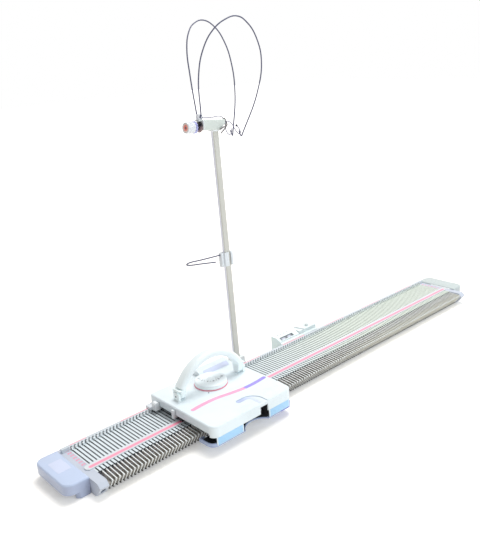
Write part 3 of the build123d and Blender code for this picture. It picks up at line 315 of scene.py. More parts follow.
# ---- coloured patterns
def repeated(along, step, start=0.0):
    """0 to 1 over each step, again and again. 100 steps keep it above zero all along the bed."""
    return (along / step + (100.0 + start)).fraction()


def rail_dashes(f, body):
    """Coloured dashes ten needles long on the rail's top; on its front, painted light with dark stripes for the
    needles' tails.
    """
    tail = (repeated(f.x, PITCH * MM) - 0.5).absolute() < 0.24
    front = (f.y < (rail_low.y + 0.6) * MM) * (f.x.absolute() < bed_end * MM)
    # the rail's front is painted pale as painted light, with dark stripes at the needles' tails
    body = f.mix(front, body, f.mix(tail, shade(246, 250, 252), shade(126, 130, 134)))
    dash = (repeated(f.x, 20 * PITCH * MM) < 0.5) * (f.x.absolute() < (bed_end - 3.0) * MM)
    on_top = (f.z > (rail_high.z - 0.4) * MM) * (f.y > (rail_low.y + 3.0) * MM)
    return f.mix(dash * on_top, body, shade(240, 176, 190))


def retainer_line(f, body):
    """The coloured line on the needle retainer, round at its ends."""
    beyond = (f.x.absolute() - (strip_high.x - 9.0) * MM).at_least(0.0)
    aside = f.y - (strip_low.y + strip_high.y - 3.0) / 2 * MM
    from_line = (beyond * beyond + aside * aside).root()
    return f.mix(from_line < 0.0032, body, shade(250, 156, 180))


def channel_floors(f, body):
    """Painted shade in the channels below the tops of their walls, and painted light making walls and channels
    paler towards the far end.
    """
    # painted light: paler towards the far end
    far = f.x.between(-0.18, 0.22)
    deep = f.mix(far, shade(84, 89, 94), shade(176, 182, 172))
    wall = f.mix(far, shade(218, 226, 230), shade(232, 240, 228))
    # painted shade below the tops of the walls
    return f.mix(f.z < (walls_top - 0.35) * MM, wall, deep)


def peg_sides(f, body):
    """White pegs with painted shade on their sides and between them, lighter far off, painted highlights on the
    noses and a painted shadow at the foot.
    """
    # painted shade on the pegs' sides and on the webs between them
    beside = (repeated(f.x, PITCH * MM, 0.5) - 0.5).absolute() > (PEG_HALF - 0.14) / PITCH
    above_tips = f.z > 0.0062
    cloud = f.noise(240.0, stretch=(0.2, 1.0, 1.0))
    # painted light: the painted shade is paler far off and at the back of the slope
    far = f.x.between(-0.1, 0.25)
    front = f.mix(far, shade(150, 145, 139), shade(210, 207, 192))
    deep = f.mix(far, shade(222, 216, 210), shade(252, 250, 243))
    grey = f.mix(f.y.between(-0.054, -0.042), front, deep)
    grey = f.mix(cloud * 0.4, grey, tone(shade(200, 196, 186), 0.8))
    # painted highlight: the peg noses keep their white
    lit_noses = (f.y < -0.0600) * (f.z > 0.0212)
    body = f.mix(beside * above_tips * (1 - lit_noses), body, grey)
    # painted shadow at the foot of the pegs
    return f.mix(f.z < 0.0058, body, shade(46, 44, 43))


def bed_foot(f, body):
    """Painted shadow: nearly black along the bottom of the bed."""
    return f.mix(f.z < 0.0072, body, shade(36, 36, 40))


def end_marks(f, body):
    """Rows of small coloured marks on the end plates, beside the needle rows. Painted shade makes the plates
    darker in front.
    """
    aside = (f.x.absolute() - (bed_end + 4.5) * MM).absolute()
    step = 0.0085
    bar = (aside < 0.0030) * (repeated(f.y, step) < 0.46)
    gap = 1 - (aside < 0.0008) * (repeated(f.y, step, 0.5) < 0.8)
    on_top = (f.z > 0.0255) * (f.y < 0.056) * (f.y > -0.004)
    # painted shade: the plates' fronts are darker
    body = f.mix(f.y.between(-0.066, -0.094), body, shade(150, 154, 172))
    return f.mix(bar * gap * on_top * 0.85, body, shade(238, 128, 160))


def cap_tint(f, body):
    """Painted light: the far cap is greener than the near one, and both are darker on their sides as painted
    shade.
    """
    low = f.z.between(0.033, 0.023)
    near = f.mix(low, body, shade(178, 188, 214))
    return f.mix(f.x > 0.0, near, f.mix(low, shade(196, 206, 203), shade(184, 192, 194)))


def grip_legs(f, body):
    """Painted light: the handle is whiter towards its ears."""
    return f.mix(f.z.between(0.098, 0.068), body, shade(246, 255, 255))


def dial_rim(f, body):
    """Painted light: the dial's side is whiter than its top."""
    low = f.z.between((dial_high.z - 2.0) * MM, (dial_high.z - 4.0) * MM)
    return f.mix(low, body, shade(247, 255, 255))


def case_ends(f, body):
    """Painted light: the counter's left end is paler than the rest of its case."""
    return f.mix(f.x < (case_low.x + 0.5) * MM, body, shade(238, 255, 255))


def cover_groove(f, body):
    """Painted shade in the yarn groove: blue at its start, fading towards the notch."""
    in_groove = (f.z < (cover_top - 0.9) * MM) * (f.z > (cover_top - 1.9) * MM) * (f.y < -0.058)
    in_groove = in_groove * (f.y > -0.0985) * ((f.x - (cover_x + 30.0) * MM).absolute() < 0.045)
    fade = f.x.between((cover_x - 2.0) * MM, (cover_x + 36.0) * MM)
    return f.mix(in_groove, body, f.mix(fade, shade(186, 196, 226), shade(232, 240, 248)))


def plate_rims(f, body):
    """Painted highlight: white along the folded rims and the lower part of the front plates."""
    rims = f.z < 0.0174
    for name in ("left", "right"):
        low, high = spot(f"front_plate_{name}")
        for x in (low.x, high.x):
            rims = (rims + ((f.x - x * MM).absolute() < 0.0019)).at_most(1.0)
    return f.mix(rims, body, shade(232, 244, 252))


def tray_faces(f, body):
    """The sinker plate's far rim is a deeper blue."""
    return f.mix(f.x > (cover_x + 60.0) * MM, body, shade(112, 122, 204))


def needle_butts(f, body):
    """Painted highlight: the butts are bright above the channel walls."""
    return f.mix(f.z > (walls_top + 0.6) * MM, body, shade(238, 240, 240))


def swoosh_colours(f, body):
    """The stripe along the cover changes colour towards its far end."""
    return f.mix(f.x > swoosh_change * MM, body, shade(160, 146, 236))


def mast_edge(f, body):
    """Painted light: the mast is paler along both edges of its front."""
    return f.mix((f.x - middle("mast").x * MM).absolute() > 0.0067, body, shade(238, 238, 250))


def banded_end(f, body):
    """Rings of colour round the knob's end face."""
    aside = f.away_from(SPINDLE @ Vector((0, 0, knob_far - 1)))
    body = f.mix(aside < 0.0056, body, shade(240, 112, 96))
    body = f.mix((aside < 0.0045) * (aside > 0.0038), body, shade(252, 186, 172))
    return f.mix(aside < 0.0022, body, shade(92, 90, 100))


def disc_shine(f, body):
    """Painted reflection: the tension discs are black above, over their dull brown base colour below."""
    height = SPINDLE.translation.z
    return f.mix(f.z.between(height * MM, (height + 4.0) * MM), body, shade(26, 24, 30))


plastic("base_grey", (150, 147, 143), roughness=0.5, pattern=bed_foot)
plastic("rubber", (46, 46, 50), roughness=0.75, grain=4.0)
plastic("channel_white", (226, 233, 234), edge=0.0003, pattern=channel_floors)
plastic("peg_white", (236, 240, 240), edge=0.0004, pattern=peg_sides)
plastic("strip_pink", (222, 226, 230), roughness=0.3, pattern=retainer_line)
plastic("rail_grey", (206, 213, 218), pattern=rail_dashes)
metal("needle_steel", (98, 98, 104), along=(4.0, 0.2, 4.0), pattern=needle_butts)
plastic("end_grey", (196, 202, 214), pattern=end_marks, edge=0.001)
plastic("cap_white", (203, 217, 241), roughness=0.3, edge=0.0008, pattern=cap_tint)
plastic("cover_white", (234, 243, 247), roughness=0.3, edge=0.0012, pattern=cover_groove)
plastic("black_plate", (28, 29, 33), light=1.6, roughness=0.45)
metal("cam_steel", (150, 152, 158))
plastic("glide_plastic", (206, 210, 214))
plastic("shoe_white", (226, 231, 236))
plastic("lever_white", (236, 240, 242), roughness=0.32)
plastic("ring_pink", (238, 138, 160), roughness=0.3)
plastic("dial_white", (241, 248, 250), roughness=0.28, edge=0.0008, pattern=dial_rim)
plastic("handle_white", (240, 248, 249), edge=0.0008, pattern=grip_legs)
metal("pin_steel", (120, 120, 126), roughness=0.3)
plastic("plate_blue", (170, 214, 248), roughness=0.3, edge=0.0003, pattern=plate_rims)
plastic("tray_steel", (172, 186, 218), roughness=0.3, pattern=tray_faces)
plastic("brush_black", (34, 34, 38), roughness=0.8, grain=3.0)
metal("feeder_steel", (186, 188, 192), roughness=0.22)
plastic("counter_white", (234, 243, 242), edge=0.0008, pattern=case_ends)
plastic("wheel_white", (234, 235, 255), roughness=0.5)
plastic("button_grey", (226, 230, 230), roughness=0.42)
plastic("holder_grey", (228, 232, 230))
plastic("mast_grey", (208, 206, 198), roughness=0.35, edge=0.0006, pattern=mast_edge)
plastic("clip_grey", (226, 230, 234))
plastic("wire_steel", (72, 64, 68), roughness=0.3)
plastic("wire_dark", (76, 78, 106), roughness=0.4)
plastic("wire_pale", (112, 110, 138), roughness=0.4)
plastic("unit_white", (214, 220, 214), 0.98, 1.01, grain=0.3, edge=0.0006)
# the discs' dull brown base colour and their black top are a painted reflection of chrome
plastic("disc_steel", (172, 148, 146), roughness=0.3, pattern=disc_shine)
metal("spring_steel", (58, 56, 66), roughness=0.3)
plastic("knob_white", (238, 240, 244), roughness=0.32, edge=0.0008)
plastic("post_white", (248, 249, 252))
plastic("swoosh", (246, 170, 204), roughness=0.28, pattern=swoosh_colours)
plastic("ring_lavender", (176, 178, 226), roughness=0.4)
plastic("knob_face", (246, 226, 216), roughness=0.3, pattern=banded_end)
plastic("print_grey", (96, 98, 110), roughness=0.5)
plastic("window_dark", (52, 54, 70), roughness=0.3)
plastic("label_bare", (209, 216, 238), roughness=0.4, edge=0.0001)

lens = Finish("lens_clear")
haze = lens.noise(120.0, detail=3.0)
lens.finish(
    Base_Color=lens.mix(haze.between(0.4, 0.6), shade(236, 242, 246), shade(246, 250, 252)),
    Roughness=haze * 0.10 + 0.02,
    Alpha=haze * 0.08 + 0.12,
    Normal=lens.bump(haze, 0.05, 0.0002),
    IOR=1.49,
)

for part in frame["record"]["subparts"]:
    node = frame["nodes"][part["node"]]
    node.data.materials.clear()
    node.data.materials.append(finishes[part["material_slot"]])


# ---- making pieces
def placed(name, data):
    """An object of that data, in the scene."""
    made = bpy.data.objects.new(name, data)
    bpy.context.scene.collection.objects.link(made)
    return made


def piece(name, shape, body, slot, finish=None, place=Matrix(), stands_for=(), sharp=35):
    """Makes an object of a bmesh in millimetres, puts it in place and says what it moves with."""
    bmesh.ops.remove_doubles(shape, verts=shape.verts, dist=1e-4)
    bmesh.ops.dissolve_degenerate(shape, dist=1e-4, edges=shape.edges)
    bmesh.ops.recalc_face_normals(shape, faces=shape.faces)
    mesh = as_mesh(shape, name)
    mesh.transform(Matrix.Scale(MM, 4) @ place)
    mesh.materials.append(finishes[finish or slot])
    mesh.shade_smooth()
    mesh.set_sharp_from_angle(angle=radians(sharp))
    made = placed(name, mesh)
    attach(made, body)
    if stands_for:
        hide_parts(*stands_for)


def as_shape(mesh, place=Matrix()):
    """A mesh turned into a bmesh; the mesh is dropped."""
    shape = bmesh.new()
    shape.from_mesh(mesh)
    bpy.data.meshes.remove(mesh)
    shape.transform(place)
    return shape


def as_mesh(shape, name="spare"):
    """A bmesh turned into a mesh; the bmesh is dropped."""
    mesh = bpy.data.meshes.new(name)
    shape.to_mesh(mesh)
    shape.free()
    return mesh


def joined(shape, *others):
    """Adds other shapes to the first one."""
    for other in others:
        spare = as_mesh(other)
        shape.from_mesh(spare)
        bpy.data.meshes.remove(spare)
    return shape


def moved(shape, place):
    shape.transform(place)
    return shape


def drawn(data, name):
    """The mesh of a curve or text; the curve or text is dropped."""
    holder = placed(name, data)
    shown = holder.evaluated_get(bpy.context.evaluated_depsgraph_get())
    mesh = bpy.data.meshes.new_from_object(shown)
    bpy.data.objects.remove(holder)
    bpy.data.curves.remove(data)
    return mesh


def rings(rows, closed=True):
    """Quads between rows of points, each row a loop, with the first and last row filled in."""
    shape = bmesh.new()
    made = [[shape.verts.new(point) for point in row] for row in rows]
    for low, high in zip(made, made[1:]):
        for i in range(len(low)):
            j = (i + 1) % len(low)
            shape.faces.new((low[i], low[j], high[j], high[i]))
    if closed:
        shape.faces.new(list(reversed(made[0])))
        shape.faces.new(made[-1])
    return shape


def lathe(outline, steps=48):
    """Turns (radius, height) points round Z; solid if they start and end on the axis."""
    rows = [[(x, y, z) for x, y in circle(r, steps)] for r, z in outline]
    solid = outline[0][0] == 0 and outline[-1][0] == 0
    return rings(rows if solid else rows + rows[:1], closed=False)


def rounded(shape, edge, segments=2):
    """Rounds the edges where a shape turns by more than 30 degrees."""
    sharp = [e for e in shape.edges if e.calc_face_angle(0) > radians(30)]
    bmesh.ops.bevel(
        shape, geom=sharp, offset=edge, segments=segments, profile=0.5, affect="EDGES",
        clamp_overlap=True,
    )
    return shape


def prism(outline, depth, edge=0.0, segments=2):
    """An outline in XY made depth thick, half on each side of Z = 0, with rounded edges."""
    shape = rings([[(x, y, z) for x, y in outline] for z in (-depth / 2, depth / 2)])
    bmesh.ops.recalc_face_normals(shape, faces=shape.faces)
    return rounded(shape, edge, segments) if edge else shape


def block(low, high):
    """A box between two corners."""
    (x, y, z), (far_x, far_y, top) = low, high
    corners = ((x, y), (far_x, y), (far_x, far_y), (x, far_y))
    return rings([[(*corner, height) for corner in corners] for height in (z, top)])


def circle(radius, steps, start=0.0, sweep=360.0, centre=(0, 0)):
    """Points round a centre, or along an arc with both its ends."""
    count = steps if sweep == 360.0 else steps + 1
    angles = [radians(start + sweep * i / steps) for i in range(count)]
    return [(centre[0] + radius * cos(a), centre[1] + radius * sin(a)) for a in angles]


def rounded_box(width, height, radius, steps=6):
    """Outline of a rectangle with round corners."""
    points = []
    for quarter, (sx, sy) in enumerate(((1, 1), (-1, 1), (-1, -1), (1, -1))):
        corner = (sx * (width / 2 - radius), sy * (height / 2 - radius))
        points += circle(radius, steps, 90 * quarter, 90, corner)
    return points


def softened(name, node, body, slot, edge, segments=3):
    """A piece that has a CAD node's shape with its edges really rounded."""
    shape = as_shape(frame["nodes"][node].data.copy(), Matrix.Scale(1 / MM, 4))
    bmesh.ops.remove_doubles(shape, verts=shape.verts, dist=1e-3)
    bmesh.ops.dissolve_limit(shape, angle_limit=radians(1), verts=shape.verts, edges=shape.edges)
    piece(name, rounded(shape, edge, segments), body, slot, stands_for=[node])


def smooth_line(points, name, radius=0.0):
    """The mesh of a smooth curve through the points, round if it has a radius."""
    curve = bpy.data.curves.new(name, "CURVE")
    curve.dimensions = "3D"
    curve.resolution_u = 10
    curve.use_fill_caps = True
    curve.bevel_depth = radius
    curve.bevel_resolution = 3
    line = curve.splines.new("BEZIER")
    line.bezier_points.add(len(points) - 1)
    for knot, point in zip(line.bezier_points, points):
        knot.co = point
        knot.handle_left_type = knot.handle_right_type = "AUTO"
    return drawn(curve, name)


def wire(name, lines, radius, body, slot, finish=None, place=Matrix(), stands_for=()):
    """A piece of bent wires, each through its own points."""
    shapes = [as_shape(smooth_line(line, name, radius)) for line in lines]
    piece(name, joined(*shapes), body, slot, finish, place, stands_for, sharp=60)


def stripe(points, width):
    """The outline of a flat stripe with round ends along a smooth line in XY."""
    mesh = smooth_line([(x, y, 0) for x, y in points], "stripe")
    line = [v.co.copy() for v in mesh.vertices]
    bpy.data.meshes.remove(mesh)
    half = width / 2
    left, right = [], []
    for i, at in enumerate(line):
        run = (line[min(i + 1, len(line) - 1)] - line[max(i - 1, 0)]).normalized()
        aside = Vector((-run.y, run.x, 0)) * half
        left.append((at + aside).xy[:])
        right.append((at - aside).xy[:])
    ends = []
    for at, inner in ((line[-1], line[-2]), (line[0], line[1])):
        out = (at - inner).normalized()
        start = Vector((-out.y, out.x, 0))
        ends.append([(at + half * (start * cos(a) + out * sin(a))).xy[:]
                     for a in (pi * k / 8 for k in range(1, 8))])
    return left + ends[0] + list(reversed(right)) + ends[1]


def lettering(name, texts, body, slot, finish):
    """Numbers set flat: (text, size, place) each, raised a little from the surface."""
    shapes = []
    for text, size, place in texts:
        letters = bpy.data.curves.new(name, "FONT")
        letters.body = text
        letters.size = size
        letters.extrude = 0.06
        letters.align_x = letters.align_y = "CENTER"
        shapes.append(as_shape(drawn(letters, name), place))
    piece(name, joined(*shapes), body, slot, finish)


# ---- repeated shapes
def geometry_group(name, inputs):
    """A Geometry Nodes group with those inputs, its input node and a way to add nodes."""
    group = bpy.data.node_groups.new(name, "GeometryNodeTree")
    for label, kind in inputs.items():
        group.interface.new_socket(name=label, in_out="INPUT", socket_type=f"NodeSocket{kind}")
    group.interface.new_socket(name="Geometry", in_out="OUTPUT", socket_type="NodeSocketGeometry")
    given = add_node(group, "NodeGroupInput").outputs

    def add(kind, settings=None, **inputs):
        return add_node(group, kind, settings, **inputs).outputs

    return group, given, add


def set_copies(group, given, add, points, **turn):
    """Puts the shape on each point, shaken a little, as real faces in the given finish."""
    shape = add("GeometryNodeObjectInfo", Object=given["Shape"])["Geometry"]
    made = add("GeometryNodeInstanceOnPoints", Points=points, Instance=shape, **turn)["Instances"]
    back = add("ShaderNodeVectorMath", {"operation": "SCALE"}, Vector=given["Shake"], Scale=-1.0)
    shake = add(
        "FunctionNodeRandomValue", {"data_type": "FLOAT_VECTOR"},
        Min=back["Vector"], Max=given["Shake"], Seed=given["Seed"],
    )
    made = add("GeometryNodeTranslateInstances", Instances=made, Translation=shake[0])["Instances"]
    real = add("GeometryNodeRealizeInstances", Geometry=made)["Geometry"]
    done = add("GeometryNodeSetMaterial", Geometry=real, Material=given["Finish"])["Geometry"]
    add("NodeGroupOutput", Geometry=done)
    return group


# what every group of copies is given, and the kind of its socket
COPY_INPUTS = {
    "Shape": "Object", "Finish": "Material", "Count": "Int", "Shake": "Vector", "Seed": "Int",
}


def row_group():
    """Copies in a straight row."""
    group, given, add = geometry_group("row", {**COPY_INPUTS, "Start": "Vector", "Step": "Vector"})
    line = add(
        "GeometryNodeMeshLine", {"mode": "OFFSET"},
        Count=given["Count"], Start_Location=given["Start"], Offset=given["Step"],
    )
    return set_copies(group, given, add, line["Mesh"])


def ring_group():
    """Copies round the Z axis, each turned to face outwards."""
    group, given, add = geometry_group("ring", {**COPY_INPUTS, "Radius": "Float"})
    loop = add("GeometryNodeMeshCircle", Vertices=given["Count"], Radius=given["Radius"])
    index = add("GeometryNodeInputIndex")["Index"]
    share = add("ShaderNodeMath", {"operation": "DIVIDE"}, Value=index, Value_001=given["Count"])
    angle = add("ShaderNodeMath", {"operation": "MULTIPLY"}, Value=share[0], Value_001=2 * pi)
    turn = add("ShaderNodeCombineXYZ", Z=angle[0])["Vector"]
    return set_copies(group, given, add, loop["Mesh"], Rotation=turn)


ROW, RING = row_group(), ring_group()


def copies(group, shape, finish, **values):
    """The group's copies of a shape as a bmesh in millimetres."""
    bmesh.ops.recalc_face_normals(shape, faces=shape.faces)
    pattern = placed("shape", as_mesh(shape, "shape"))
    host = placed("host", bpy.data.meshes.new("host"))
    modifier = host.modifiers.new("copies", "NODES")
    modifier.node_group = group
    values = {"Shape": pattern, "Finish": finishes[finish], "Seed": 7, "Shake": (0, 0, 0), **values}
    for item in group.interface.items_tree:
        if item.in_out == "INPUT":
            modifier[item.identifier] = values[item.name]
    bpy.context.view_layer.update()
    shown = host.evaluated_get(bpy.context.evaluated_depsgraph_get())
    made = bpy.data.meshes.new_from_object(shown)
    host.modifiers.remove(modifier)
    for helper in (pattern, host):
        bpy.data.objects.remove(helper)
    return as_shape(made)


# ---- needles
def needle(length, rise):
    """One needle from its hook at the front to its butt, with the open latch lying back."""
    # from the shank round to the hook's point: how far back, how high, half as thick
    hook = (
        (9, 0.6, 0.6), (3.0, 0.45, 0.42), (0.8, 0.55, 0.36), (0.4, 1.2, 0.34), (0.8, 1.9, 0.3),
        (2.6, 2.2, 0.22),
    )
    rows = []
    for i, (y, z, half) in enumerate(hook):
        before, after = hook[max(i - 1, 0)], hook[min(i + 1, len(hook) - 1)]
        run = Vector((0, after[0] - before[0], after[1] - before[1])).normalized()
        across = run.cross(Vector((1, 0, 0)))
        corners = ((1, 1), (-1, 1), (-1, -1), (1, -1))
        rows.append([Vector((sx * half, y, z)) + sy * half * across for sx, sy in corners])
    return joined(
        block((-0.6, 9, 0), (0.6, length, 2.0)),
        block((-0.75, length - 4, 2.0), (0.75, length, rise)),
        block((-0.75, 30, 2.0), (0.75, length - 12, 2.5)),
        block((-0.25, 8.0, 1.9), (0.25, 14.0, 2.4)),
        rings(rows),
    )


for bank in ("left", "middle", "right"):
    low, high = spot(f"needles_{bank}")
    row = copies(
        ROW, needle(high.y - low.y, high.z - low.z), "needle_steel",
        Count=round((high.x - low.x) / PITCH) + 1,
        Start=(low.x + 0.75, low.y, low.z), Step=(PITCH, 0, 0), Shake=(0.12, 0.0, 0.0),
    )
    body, stood_for = f"needle_bank_{bank}", [f"needles_{bank}"]
    piece(f"needle_row_{bank}", row, body, "needle_steel", stands_for=stood_for)

# ---- ends of the bed
softened("cap_shell_left", "end_cap_left", "bed", "cap_white", 0.9)
cap_low, cap_high = spot("end_cap_left")
label_at = shift((cap_low.x + cap_high.x) / 2 + 2, 21, cap_high.z)
label = prism(rounded_box(22, 34, 2.0, 4), 0.2)
piece("cap_label", label, "bed", "cap_white", "label_bare", label_at)
softened("cap_shell_right", "end_cap_right", "bed", "cap_white", 0.9)

# ---- carriage top
SWOOSH = (
    (-73.6, -33.2), (-50.6, -31.8), (-22.3, -33.0), (6.9, -38.8), (32.8, -42.6), (57.2, -42.9),
    (82.0, -40.6),
)
swoosh = prism(stripe([(cover_x + x, y) for x, y in SWOOSH], 7.8), 0.4, 0.1, 1)
piece("swoosh", swoosh, "carriage", "ring_pink", "swoosh", shift(z=cover_top))

piece(
    "index_dot", lathe([(0, 0), (1.3, 0), (1.3, 0.25), (1.0, 0.4), (0, 0.4)], 16),
    "carriage", "cover_white", "print_grey", shift(cover_x - 19.6, -8.7, cover_top),
)
hood_slope = turned((cover_x + 45, 46.4, cover_top + 5.0), (1, 0, 0), (0, 10, 9))  # 9 up in 10
panel = prism(rounded_box(58, 9.5, 1.4, 4), 0.5, 0.15)
piece("hood_panel", panel, "carriage", "cover_white", "label_bare", hood_slope)

# ---- stitch dial
dial_at = joint_place("stitch_dial_turn")
dial_radius = (dial_high.x - dial_low.x) / 2
ring_low, ring_high = spot("dial_ring")
rim = (ring_high.x - ring_low.x) / 2 - 0.2
DIAL = shift(dial_at.x, dial_at.y)

ring = lathe(
    [(4.2, cover_top), (rim - 0.2, cover_top), (rim, cover_top + 0.3), (rim, ring_high.z - 0.7),
     (rim - 0.5, ring_high.z), (4.2, ring_high.z)],
    96,
)
piece("dial_ring_rim", ring, "carriage", "ring_pink", place=DIAL, stands_for=["dial_ring"])
dial_foot = ring_high.z + 0.1
dial_side = [
    (0, dial_low.z), (3.9, dial_low.z), (3.9, dial_foot), (dial_radius - 0.5, dial_foot),
    (dial_radius, dial_foot + 0.6),
]
# from the side over the top's edge to its middle: how far inside the edge, how far below the top
rounding = ((0.1, 2.6), (0.7, 1.3), (1.9, 0.5), (4.0, 0.2), (9.0, 0.1))
dial_side += [(dial_radius - inside, dial_high.z - below) for inside, below in rounding]
hollow = ((9.2, 0.06), (8.6, 0.4), (7.6, 0.42), (7.0, 0.1), (0, 0))
dial = lathe(dial_side + [(radius, dial_high.z - below) for radius, below in hollow], 96)
piece("dial_cap", dial, "stitch_dial", "dial_white", place=DIAL, stands_for=["stitch_dial"])
numbers, dots = [], []
for i in range(11):
    # an arc across the front of the dial, about a point to one side of its middle
    angle = radians(161 + i * 14.2)
    arc = DIAL @ shift(7.0 + 21.6 * cos(angle), 10.0 + 21.6 * sin(angle), dial_high.z - 0.1)
    if i % 2:
        dots.append(moved(prism(circle(0.75, 12), 0.2), arc))
    else:
        numbers.append((str(i), 6.6, arc @ Matrix.Rotation(angle + pi / 2, 4, "Z")))
lettering("dial_numbers", numbers, "stitch_dial", "dial_white", "print_grey")
piece("dial_dots", joined(*dots), "stitch_dial", "dial_white", "print_grey")

# ---- handle
handle_high = spot("handle")[1]
grip_width, grip_thickness = 20.0, 13.0
grip_rise = handle_high.z - grip_thickness / 2 - pivot.z - 1.2  # of the grip's middle line
arch_radius = (arch_half**2 + grip_rise**2) / (2 * grip_rise)
arch_z = pivot.z + grip_rise - arch_radius
end_gap = 13.0  # along the arch, from the pivots to the grip's ends
arch_sweep = asin(arch_half / arch_radius) - end_gap / arch_radius


def grip():
    """The arched grip, crowned along its top, with its ends drawn in above the hinges."""
    section = [
        (x, y - 0.4 * (2 * x / grip_width) ** 2 * (y > 0))
        for x, y in rounded_box(grip_width, grip_thickness, 5.4, 7)
    ]
    rows = []
    steps = 72
    for i in range(-1, steps + 2):
        angle = arch_sweep * (2 * min(max(i, 0), steps) / steps - 1)
        shrink = 1.0 if 0 <= i <= steps else 0.90
        out = Vector((sin(angle), 0, cos(angle)))
        spread = 1.5 * (angle / arch_sweep) ** 5
        at = Vector((handle_x + spread, pivot.y, arch_z)) + out * arch_radius
        rows.append([at + Vector((0, shrink * x, 0)) + out * shrink * y for x, y in section])
    return rings(rows)


def upright(x):
    """Local X and Y to the model's Y and Z, thickness along the model's X."""
    return turned((x, pivot.y, pivot.z), (0, 1, 0), (0, 0, 1))


lug = circle(7.3, 14, 180, 180) + [(7.8, 4.0), (8.8, 11.6), (-8.8, 11.6), (-7.8, 4.0)]
yoke = circle(8.5, 12, 112, -92) + [(8.8, 2.9), (9.2, 12.2), (-9.2, 12.2), (-9.2, 10.4)]
yoke_x = lug_x + 7.6
feet = []
for side in (-1, 1):
    feet.append(moved(prism(lug, 10.6, 1.2, 3), upright(handle_x + side * lug_x)))
    feet.append(moved(prism(yoke, 5.2, 0.6, 3), upright(handle_x + side * yoke_x)))
piece("handle_grip", joined(grip(), *feet), "handle", "handle_white", stands_for=["handle"])

for side, name in ((-1, "left"), (1, "right")):
    low, high = spot(f"handle_ear_{name}")
    at_x, thick = (low.x + high.x) / 2, high.x - low.x
    foot_z = low.z - pivot.z
    ear = prism(circle(7.3, 16, 0, 180) + [(-7.5, foot_z), (7.5, foot_z)], thick, 1.0, 3)
    foot = prism(rounded_box(thick + 1.6, 16.4, 1.2, 3), 0.8, 0.3)
    moved(foot, shift(at_x + side * 0.2, pivot.y, low.z + 0.4))
    piece(
        f"ear_{name}", joined(moved(ear, upright(at_x)), foot), "carriage", "handle_white",
        stands_for=[f"handle_ear_{name}"],
    )

pins_low, pins_high = spot("handle_pins")
pin = ((0, -0.6), (1.2, -0.9), (1.5, -1.2), (1.5, -1.5), (2.9, -1.55), (2.9, -17.5), (0, -17.5))
pins = [
    moved(lathe(pin, 24), turned((end, pivot.y, pivot.z), (0, 1, 0), (0, 0, side)))
    for side, end in ((-1, pins_low.x), (1, pins_high.x))
]
piece("pivot_pins", joined(*pins), "carriage", "pin_steel", stands_for=["handle_pins"])

# ---- sinker plate
for name in ("left", "right"):
    softened(f"plate_shell_{name}", f"front_plate_{name}", "carriage", "plate_blue", 0.35, 2)
    at = joint_place(f"brush_wheel_{name}_spin")
    low, high = spot(f"brush_wheel_{name}")
    reach = (high.x - low.x) / 2 - 0.1
    bristle = [
        [(3.0, -0.28, 0.1), (3.0, 0.28, 0.1), (3.0, 0.0, 0.55)],
        [(reach, -0.12, 0.2), (reach, 0.12, 0.2), (reach, 0.0, 0.42)],
    ]
    layers = []
    for layer in range(4):
        ring = copies(
            RING, rings(bristle), "brush_black",
            Count=56, Radius=0.0, Shake=(0.05, 0.05, 0.12), Seed=layer,
        )
        lift, turn = shift(z=0.1 + layer * 0.6), Matrix.Rotation(layer * 0.03, 4, "Z")
        layers.append(moved(ring, lift @ turn))
    hub = lathe([(1.66, 0), (4.2, 0), (4.2, high.z - low.z), (1.66, high.z - low.z)], 32)
    piece(
        f"brush_{name}", joined(hub, *layers), f"brush_wheel_{name}", "brush_black",
        place=shift(at.x, at.y, low.z), stands_for=[f"brush_wheel_{name}"],
    )

# the black sheet on the tray's floor: round front corners, and a scallop between the front plates
corner, corner_in, corner_y, back_y = 11.8, 14.0, -87.6, tray_high.y - 1.0
scallop = circle(33.2, 24, 152.2, -124.4, (cover_x + 4.5, -117.6))
liner = circle(corner, 6, 180, 90, (tray_low.x + corner_in, corner_y))
liner += [point for point in scallop if point[1] > corner_y - corner]
liner += circle(corner, 6, 270, 90, (tray_high.x - corner_in, corner_y))
liner += [(tray_high.x - 2.2, back_y), (tray_low.x + 2.2, back_y)]
liner_at = shift(z=tray_floor + 0.1)
piece("tray_liner", prism(liner, 0.2), "carriage", "tray_steel", "black_plate", liner_at)

feeder_low, feeder_high = spot("yarn_feeder")
eye = lathe([(3.75 + 1.15 * x, 2.0 + 1.9 * y) for x, y in circle(1.0, 12)], 32)
stem_height = feeder_high.z - feeder_low.z
stem = moved(prism(rounded_box(3.9, 3.9, 0.8, 3), stem_height, 0.2), shift(0, 6.4, stem_height / 2))
piece(
    "feeder_eye", joined(eye, stem), "carriage", "feeder_steel",
    place=shift((feeder_low.x + feeder_high.x) / 2, -88, feeder_low.z), stands_for=["yarn_feeder"],
)

# ---- row counter
for name in ("tens_wheel", "units_wheel"):
    low, high = spot(name)
    radius, half = (high.z - low.z) / 2 - 0.15, (high.x - low.x) / 2
    outline = [
        (1.6, -half), (radius - 0.35, -half), (radius, -half + 0.4), (radius, half - 0.4),
        (radius - 0.35, half), (1.6, half),
    ]
    piece(
        f"{name}_drum", lathe(outline, 60), name, "wheel_white",
        place=turned(middle(name), (0, 1, 0), (0, 0, 1)), stands_for=[name],
    )
    digits = []
    for i in range(10):
        turn = Matrix.Rotation(radians(65 - 36 * i), 4, "X")
        at = Matrix.Translation(middle(name)) @ turn @ shift(z=radius - 0.01)
        digits.append((str(i), 6.2, at))
    lettering(f"{name}_digits", digits, name, "wheel_white", "window_dark")

